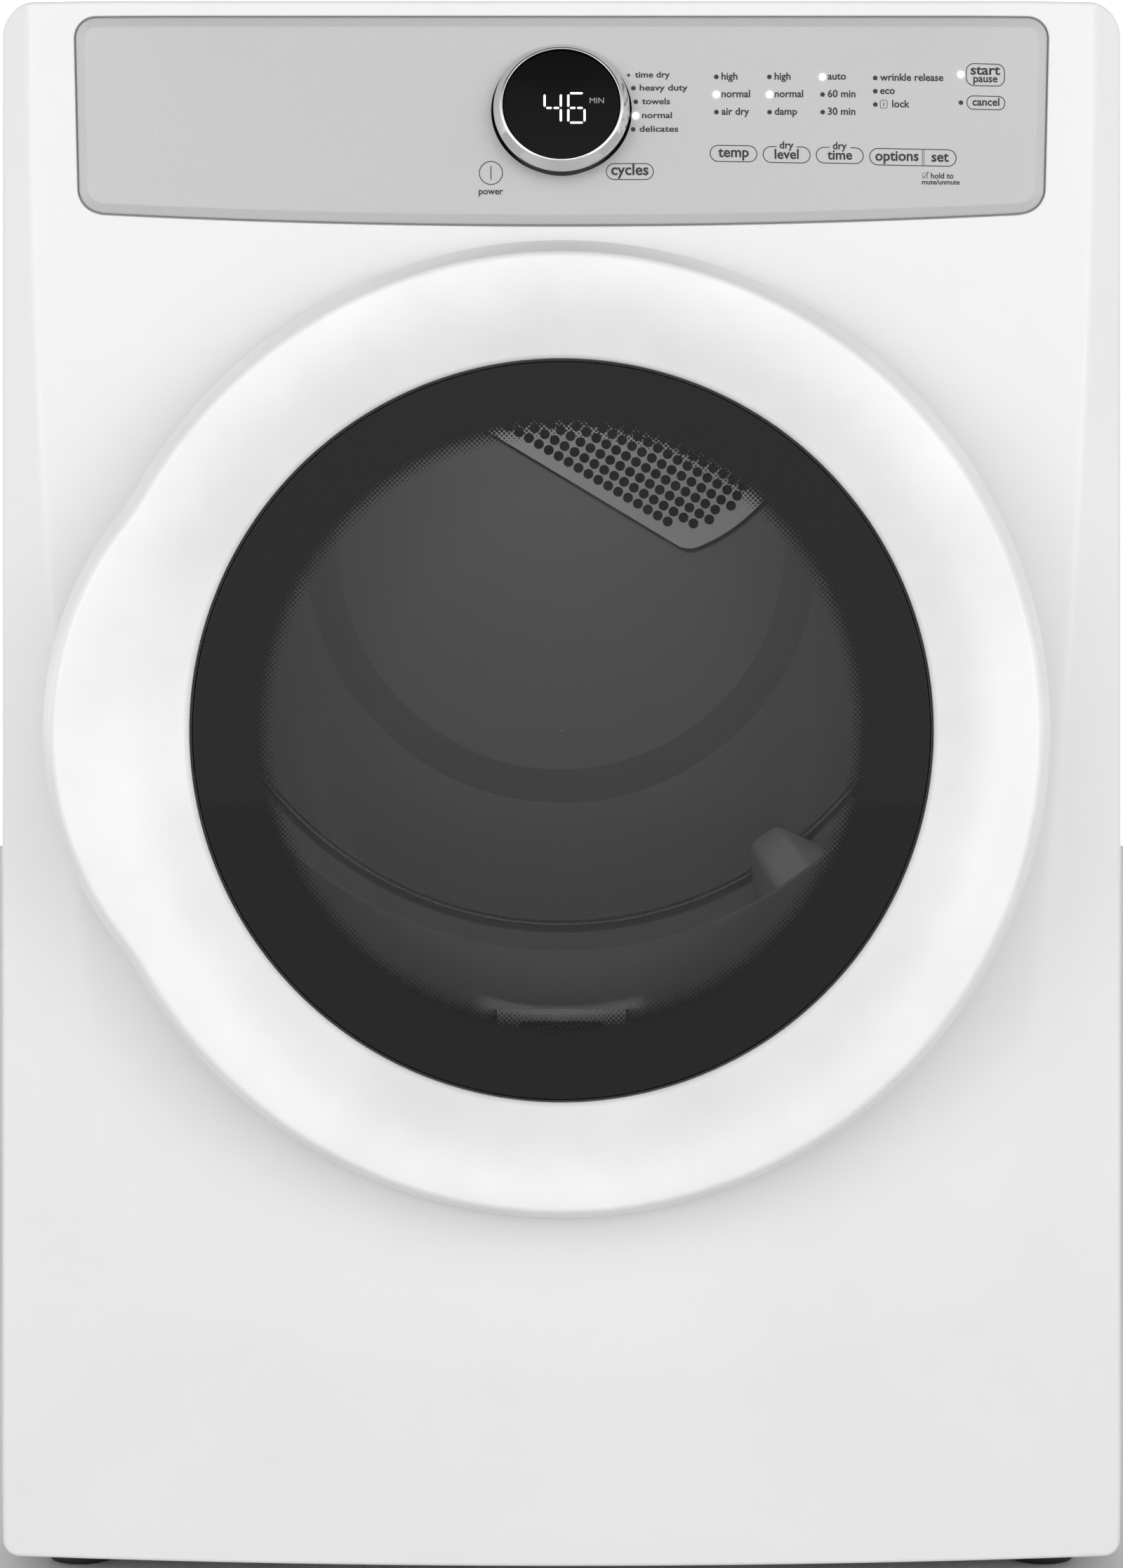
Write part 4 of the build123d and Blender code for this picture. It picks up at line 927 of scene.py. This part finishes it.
# ---- console graphics ----
def text_outline(words, size, weight=0.022):
    """Flat points and faces of a line of text that starts at the origin."""
    curve = bpy.data.curves.new("words", "FONT")
    curve.body = words
    curve.size = size
    curve.offset = size * weight
    curve.resolution_u = 3
    holder = bpy.data.objects.new("words", curve)
    bpy.context.scene.collection.objects.link(holder)
    bpy.context.view_layer.update()
    graph = bpy.context.evaluated_depsgraph_get()
    mesh = holder.evaluated_get(graph).to_mesh()
    points = np.array([(v.co.x, v.co.y) for v in mesh.vertices])
    faces = [tuple(p.vertices) for p in mesh.polygons]
    holder.evaluated_get(graph).to_mesh_clear()
    bpy.data.objects.remove(holder)
    bpy.data.curves.remove(curve)
    return points, faces


class Print:
    """Thin printing on the console: words, outlines and bars."""

    def __init__(self):
        self.points = []
        self.faces = []

    def add(self, points, faces):
        """Adds flat shapes in x and z."""
        start = len(self.points)
        self.points += [tuple(p) for p in points]
        self.faces += [tuple(start + i for i in f) for f in faces]

    def words(self, text, x, z, height, centred=False, width=None):
        """Text with its baseline at z, starting or centred at x."""
        points, faces = text_outline(text, height)
        low, high = points[:, 0].min(), points[:, 0].max()
        stretch = width / (high - low) if width else 1.0
        across = (points[:, 0] - low) * stretch
        if centred:
            across = across - (high - low) * stretch / 2
        self.add(np.column_stack([x + across, z + points[:, 1]]), faces)

    def outline(self, loop, thick, closed=True):
        """A line of even thickness along a loop."""
        if closed:
            outer, inner = inset_loop(loop, -thick / 2), inset_loop(loop, thick / 2)
        else:
            ahead = np.gradient(loop, axis=0)
            ahead /= np.linalg.norm(ahead, axis=1)[:, None]
            side = np.column_stack([ahead[:, 1], -ahead[:, 0]]) * thick / 2
            outer, inner = loop + side, loop - side
        n = len(loop)
        last = n if closed else n - 1
        self.add(np.vstack([outer, inner]), [(i, n + i, n + (i + 1) % n, (i + 1) % n) for i in range(last)])

    def disc(self, x, z, radius, count):
        """A round dot. Gives back its edge."""
        edge = circle(x, z, radius, count)
        self.add(edge, [tuple(range(count))])
        return edge

    def stroke(self, points, thick):
        """A line of even thickness through a few points."""
        self.outline(np.array(points), thick, False)

    def pill(self, left, right, low, high, radius, lean, skipped=None):
        """The outline of a key, open at the top within skipped of its middle."""
        loop = spread(pill_loop(left, right, low, high, radius, lean), 0.0006)
        if skipped is None:
            self.outline(loop, LINE)
            return
        gap = (np.abs(loop[:, 0] - (left + right) / 2) < skipped) & (loop[:, 1] > (low + high) / 2)
        first = int(np.argmax(gap))
        self.outline(np.roll(loop, -first, axis=0)[~np.roll(gap, -first)], LINE, False)

    def piece(self, name, material, slot, lift=0.00012):
        """Lays the printing on the console's face."""
        flat = np.array(self.points)
        y = front_y(flat[:, 0], flat[:, 1]) - PROUD - lift
        return add_piece(name, np.column_stack([flat[:, 0], y, flat[:, 1]]), self.faces, material, "cabinet",
                         smooth=False)


def pill_loop(x0, x1, z0, z1, radius, lean=0.0):
    """A rounded box outline whose right end sits lower by lean."""
    centres = ((x1 - radius, z0 + radius), (x1 - radius, z1 - radius), (x0 + radius, z1 - radius),
               (x0 + radius, z0 + radius))
    corners = np.vstack([arc(*centre, radius, 90 * k - 90, 90 * k, 10) for k, centre in enumerate(centres)])
    corners[:, 1] -= lean * (corners[:, 0] - x0) / (x1 - x0)
    return corners


def light_places():
    """Centres of the indicator lights, and which of them are on."""
    places = []
    for step in range(5):
        turn = math.radians(25.8 - 10.5 * step)
        places.append((0.0452 * math.cos(turn), DIAL_Z + 0.0465 * math.sin(turn), step == 3))
    for column, on in enumerate((1, 1, 0)):
        for row in range(3):
            places.append((0.0939 + 0.0322 * column, 0.9177 - 0.0108 * row, row == on))
    for row in range(3):
        places.append((0.1903, 0.9170 - 0.0081 * row, False))
    return [*places, (0.2425, 0.9194, True), (0.2425, 0.9023, False)]


def label_lights(sheet):
    """The word beside each indicator light, and the lock symbol."""
    lights = light_places()
    cycles = (("time dry", 0.0213), ("heavy duty", 0.0292), ("towels", 0.0170), ("normal", 0.0182),
              ("delicates", 0.0236))
    for (words, width), (x, z, _) in zip(cycles, lights):
        sheet.words(words, x + 0.0038, z - 0.0014, CYCLE_TEXT, width=width)
    columns = ("high", "normal", "air dry", "high", "normal", "damp", "auto", "60 min", "30 min")
    for words, (x, z, _) in zip(columns, lights[5:]):
        sheet.words(words, x + 0.0031, z - 0.0016, LABEL_TEXT)
    for words, (x, z, _) in zip(("wrinkle release", "eco", "lock"), lights[14:]):
        indent = 0.0102 if words == "lock" else 0.0029
        sheet.words(words, x + indent, z - 0.0016, LABEL_TEXT)
    x, z, _ = lights[16]
    padlock = pill_loop(x + 0.0030, x + 0.0072, z - 0.0022, z + 0.0026, 0.0008)
    sheet.outline(spread(padlock, 0.0004), THIN_LINE)
    sheet.stroke([(x + 0.0051, z - 0.0010), (x + 0.0051, z + 0.0012)], 0.0005)


def draw_keys(sheet):
    """The outlined keys with their words."""
    keys = (
        ("cycles", 0.0271, 0.0556, 0.8549, 0.8646, 0.0, 0.0096, None),
        ("temp", 0.0900, 0.1183, 0.8660, 0.8758, 0.0004, 0.0089, None),
        ("level", 0.1221, 0.1506, 0.8654, 0.8751, 0.0004, 0.0084, "dry"),
        ("time", 0.1543, 0.1829, 0.8652, 0.8747, 0.0004, 0.0083, "dry"),
    )
    for words, left, right, low, high, lean, height, over in keys:
        middle = (left + right) / 2
        base = (low + high) / 2 - 0.0020 - lean / 2
        sheet.pill(left, right, low, high, (high - low) / 2, lean, 0.0058 if over else None)
        if over:
            sheet.words(over, middle, high - 0.0012, 0.0063, True)
            base -= 0.0004
        sheet.words(words, middle, base, height, True)
    left, right, low, high, lean = 0.1868, 0.2396, 0.8642, 0.8742, 0.0007
    sheet.pill(left, right, low, high, (high - low) / 2, lean)
    for divider in (0.2189, 0.2199):
        sheet.stroke([(divider, low - lean * 0.7 + 0.0002), (divider, high - lean * 0.6)], THIN_LINE)
    sheet.words("options", 0.2034, (low + high) / 2 - 0.0024, 0.0088, True)
    sheet.words("set", 0.2298, (low + high) / 2 - 0.0028, 0.0088, True)
    left, right, low, high = 0.2458, 0.2692, 0.9128, 0.9261
    sheet.pill(left, right, low, high, 0.0046, 0.0003)
    sheet.words("start", (left + right) / 2, high - 0.0066, 0.0084, True, 0.0182)
    sheet.words("pause", (left + right) / 2, low + 0.0021, 0.0066, True)
    left, right, low, high = 0.2462, 0.2694, 0.8984, 0.9065
    sheet.pill(left, right, low, high, 0.0038, 0.0003)
    sheet.words("cancel", (left + right) / 2, (low + high) / 2 - 0.0018, 0.0068, True)


def draw_mute(sheet):
    """The crossed-out horn and its two lines of words."""
    thin = 0.00028
    x, z = 0.2210, 0.8581
    horn = [(-0.0018, -0.0011), (-0.0018, 0.0011), (-0.0002, 0.0013), (0.0009, 0.0022), (0.0009, -0.0022),
            (-0.0002, -0.0013), (-0.0018, -0.0011)]
    sheet.stroke([(x + across, z + up) for across, up in horn], thin)
    sheet.stroke([(x - 0.0022, z - 0.0024), (x + 0.0024, z + 0.0024)], thin)
    sheet.words("hold to", 0.2241, 0.8562, 0.0048)
    sheet.words("mute/unmute", 0.2186, 0.8526, 0.0042, width=0.0232)


def draw_power(sheet):
    """The power symbol and its word."""
    x, z = -0.0427, 0.8589
    sheet.outline(circle(x, z, 0.0070, 64), LINE)
    sheet.stroke([(x, z - 0.0042), (x, z + 0.0042)], LINE)
    sheet.words("power", x, 0.8459, 0.0056, True)


def make_graphics():
    """Everything printed on the console."""
    sheet = Print()
    for draw in (label_lights, draw_keys, draw_mute, draw_power):
        draw(sheet)
    sheet.piece("console_print", ink, "console_grey")


def make_lights():
    """Indicator lights: bright ones with a soft glow, dark ones flush with the face."""
    on, off, shine = Print(), Print(), Print()
    glow = []
    for index, (x, z, is_on) in enumerate(light_places()):
        radius = LIGHT_ON_R if is_on else (FIRST_LIGHT_R if index == 0 else LIGHT_OFF_R)
        (on if is_on else off).disc(x, z, radius, 28)
        if is_on:
            edge = shine.disc(x, z, GLOW_R, 32)
            glow += [((p[0] - x) / GLOW_R, (p[1] - z) / GLOW_R) for p in edge]
    on.piece("lights_on", lit, "indicator", 0.00030)
    off.piece("lights_off", dot_black, "black_gloss", 0.00020)
    piece = shine.piece("lights_glow", halo, "indicator", 0.00040)
    layer = piece.data.uv_layers.new(name="glow")
    for loop in piece.data.loops:
        layer.data[loop.index].uv = glow[loop.vertex_index]


def make_light_pipes():
    """Short clear pipes behind the lights."""
    points, faces = [], []
    sides = 16
    for x, z, _ in light_places():
        edge = circle(x, z, LIGHT_OFF_R, sides)
        y = float(front_y(np.array([x]), np.array([z]))[0]) - PROUD
        start = len(points)
        for depth in (0.0006, 0.0090):
            points += [(p[0], y + depth, p[1]) for p in edge]
        faces += [tuple(start + i for i in f) for f in grid_faces(2, sides, wrap_columns=True)]
        faces.append(tuple(range(start + sides, start + 2 * sides)))
    add_piece("light_pipes", points, faces, lamp_lens, "cabinet", ("indicator_lights",), False)


# ---- the door ----
def door_reach(turns):
    """Distance of the door's outline from its centre at each angle."""
    reach_rim = RIM_R + LOBE_FILLET
    reach_lobe = LOBE_R + LOBE_FILLET
    bx = -(reach_rim ** 2 - reach_lobe ** 2 + LOBE_SHIFT ** 2) / (2 * LOBE_SHIFT)
    bz = math.sqrt(reach_rim ** 2 - bx ** 2)
    rim_turn = math.degrees(math.atan2(bz, bx))
    lobe_turn = math.degrees(math.atan2(bz, bx + LOBE_SHIFT))
    rim = arc(0.0, 0.0, RIM_R, -rim_turn, rim_turn, 600)
    lobe = arc(-LOBE_SHIFT, 0.0, LOBE_R, lobe_turn, 360 - lobe_turn, 300)
    upper = arc(bx, bz, LOBE_FILLET, rim_turn + 180, lobe_turn + 180, 40)
    lower = upper[::-1] * np.array([1.0, -1.0])
    line = np.vstack([rim, upper, lobe, lower])
    angle = np.unwrap(np.arctan2(line[:, 1], line[:, 0]))
    order = np.argsort(angle)
    angle, reach = angle[order], np.hypot(line[:, 0], line[:, 1])[order]
    return np.interp((turns - angle[0]) % (2 * math.pi) + angle[0], angle, reach)


def ring_profile(reach):
    """Section of the door ring at one angle: funnel, crest, side, lip and the inside."""
    crest = max(reach - 0.0155, 0.262)
    funnel_y = GLASS_FRONT - 0.0005
    funnel = []
    for t in np.linspace(0.0, 1.0, 22):
        rise = math.sin(t * math.pi / 2) ** 1.05
        funnel.append((FUNNEL_R + (crest - FUNNEL_R) * t, funnel_y + (CREST_Y - funnel_y) * rise))
    corners = [funnel[-1], (reach - 0.0125, CREST_Y), (reach - 0.0098, -0.3975), (reach - 0.0022, -0.3610),
               (reach - 0.0004, -0.3560), (reach, -0.3520), (reach - 0.0002, -0.3440),
               (reach - 0.0018, -0.3412), (reach - 0.0032, -0.3415)]
    shoulder = rounded_profile(corners, [0.003, 0.003, 0.002, 0.002, 0.002, 0.001, 0.0008], 4)
    inside = [(reach - 0.0038, -0.3440), (reach - 0.0050, -0.3600), (reach - 0.0125, -0.3940),
              (reach - 0.0180, -0.3968)]
    back = [(r - 0.0006, y + 0.0030) for r, y in funnel[::-3]]
    return funnel + shoulder[1:] + inside + back[1:] + [(FUNNEL_R, -0.3690)]


def make_door_ring():
    """Moulded door ring with the handle lobe."""
    steps = 420
    turns = np.arange(steps) * 2 * math.pi / steps
    reach = door_reach(turns)
    sections = [ring_profile(r) for r in reach]
    points = []
    for turn, section in zip(turns, sections):
        points += [(r * math.cos(turn), y, DOOR_Z + r * math.sin(turn)) for r, y in section]
    faces = grid_faces(steps, len(sections[0]), wrap_rows=True, wrap_columns=True)
    add_piece("door_ring", points, faces, door_white, "door", ("door_outer_ring",))


def lathe(name, profile, material, replaced, steps=256):
    """A piece turned about the door's centre line from (radius, y) points."""
    turns = np.arange(steps) * 2 * math.pi / steps
    across, up = np.cos(turns), np.sin(turns)
    points = [np.column_stack([radius * across, np.full(steps, y), DOOR_Z + radius * up])
              for radius, y in profile]
    faces = grid_faces(len(profile), steps, wrap_columns=True)
    add_piece(name, np.vstack(points), faces, material, "door", replaced)


def make_door_glass():
    """Round dark glass with a ground edge, and the thin bead round it."""
    corners = [(0.0005, GLASS_FRONT), (GLASS_R - 0.0016, GLASS_FRONT), (GLASS_R - 0.0012, GLASS_BACK),
               (0.0005, GLASS_BACK)]
    lathe("door_glass_pane", rounded_profile(corners, [0.0008, 0.0005]), glass_black,
          ("door_glass",))
    inner, outer, front, back = GLASS_R - 0.0010, GLASS_R - 0.0002, -0.3728, -0.3700
    bead = [(inner, front), (outer, front), (outer, back), (inner, back), (inner, front)]
    lathe("door_glass_bead", bead, black_rubber, ())


def make_bowl():
    """Glass bowl behind the door glass."""
    corners = [(0.0005, -0.2890), (0.148, -0.2890), (0.162, -0.2960), (0.1700, -0.3040), (0.1935, -0.3445),
               (0.2015, -0.3490), (0.2015, -0.3450), (0.1962, -0.3410), (0.172, -0.3010), (0.164, -0.2900),
               (0.150, -0.2850), (0.0005, -0.2850)]
    radii = [0.010, 0.004, 0.004, 0.003, 0.001, 0.002, 0.003, 0.004, 0.004, 0.006]
    lathe("door_bowl", rounded_profile(corners, radii, 5), bowl, ("door_inner_window",))


make_front_panel()
make_fascia()
make_display()
make_graphics()
make_lights()
make_light_pipes()
make_door_ring()
make_door_glass()
make_bowl()


# ---- studio ----
def add_floor():
    """Plain pale floor."""
    mesh = bpy.data.meshes.new("floor")
    mesh.from_pydata([(-6, -6, 0), (6, -6, 0), (6, 6, 0), (-6, 6, 0)], [], [(0, 1, 2, 3)])
    floor = bpy.data.objects.new("floor", mesh)
    bpy.context.scene.collection.objects.link(floor)
    material = plain_material("floor_white", (0.82, 0.82, 0.82), 0.6)
    add_rough(material, noise_node(material, place_node(material), 3.0), 0.55, 0.65)
    mesh.materials.append(material)


def add_area(name, place, aim, size, power):
    """A large soft light aimed at a point."""
    light = bpy.data.lights.new(name, "AREA")
    light.shape = "RECTANGLE"
    light.size, light.size_y = size
    light.energy = power
    lamp = bpy.data.objects.new(name, light)
    lamp.location = place
    lamp.rotation_euler = (Vector(aim) - Vector(place)).to_track_quat("-Z", "Y").to_euler()
    bpy.context.scene.collection.objects.link(lamp)


def add_world():
    """White surroundings before and behind the object, grey at the sides, dimmer overhead."""
    world = bpy.data.worlds.new("studio")
    bpy.context.scene.world = world
    world.use_nodes = True
    tree = world.node_tree
    background = tree.nodes["Background"]
    where = tree.nodes.new("ShaderNodeTexCoord")
    split = tree.nodes.new("ShaderNodeSeparateXYZ")
    ramp = tree.nodes.new("ShaderNodeValToRGB")
    tree.links.new(where.outputs["Generated"], split.inputs["Vector"])
    tree.links.new(ranged(tree, split.outputs["Y"], (-1.0, 1.0), (0.0, 1.0)), ramp.inputs["Fac"])
    elements = ramp.color_ramp.elements
    for element, position in zip(elements, (0.0, 0.80)):
        element.position = position
        element.color = (1.0, 1.0, 1.0, 1.0)
    for position, tone in ((0.15, 0.97), (0.30, 0.85), (0.50, 0.66), (0.68, 0.60)):
        elements.new(position).color = (tone, tone, tone, 1.0)
    tree.links.new(ramp.outputs["Color"], background.inputs["Color"])
    strength = ranged(tree, split.outputs["Z"], (0.40, 0.75), (1.42, 0.25))
    tree.links.new(strength, background.inputs["Strength"])


def add_camera():
    """Long lens square on to the front, level with the door's upper half and shifted down."""
    camera = bpy.data.cameras.new("camera")
    camera.sensor_width = 36
    camera.lens = 93.67
    camera.shift_y = -0.1464
    holder = bpy.data.objects.new("camera", camera)
    holder.location = (0.0, -2.806, 0.628)
    holder.rotation_euler = (math.radians(90), 0.0, 0.0)
    bpy.context.scene.collection.objects.link(holder)
    bpy.context.scene.camera = holder


add_floor()
add_world()
add_area("high_key", (0.0, -3.4, 2.6), (0.0, -0.3, 0.5), (3.2, 1.4), 5.0)
add_area("left_fill", (-2.4, -3.6, 0.9), (0.0, -0.3, 0.45), (1.6, 2.0), 22.0)
add_area("right_fill", (2.4, -3.6, 0.9), (0.0, -0.3, 0.45), (1.6, 2.0), 22.0)
add_area("drum_glow", (0.0, -0.10, 0.86), (0.0, 0.25, 0.55), (0.20, 0.10), 0.8)
add_camera()
bpy.context.scene.view_settings.view_transform = "Standard"
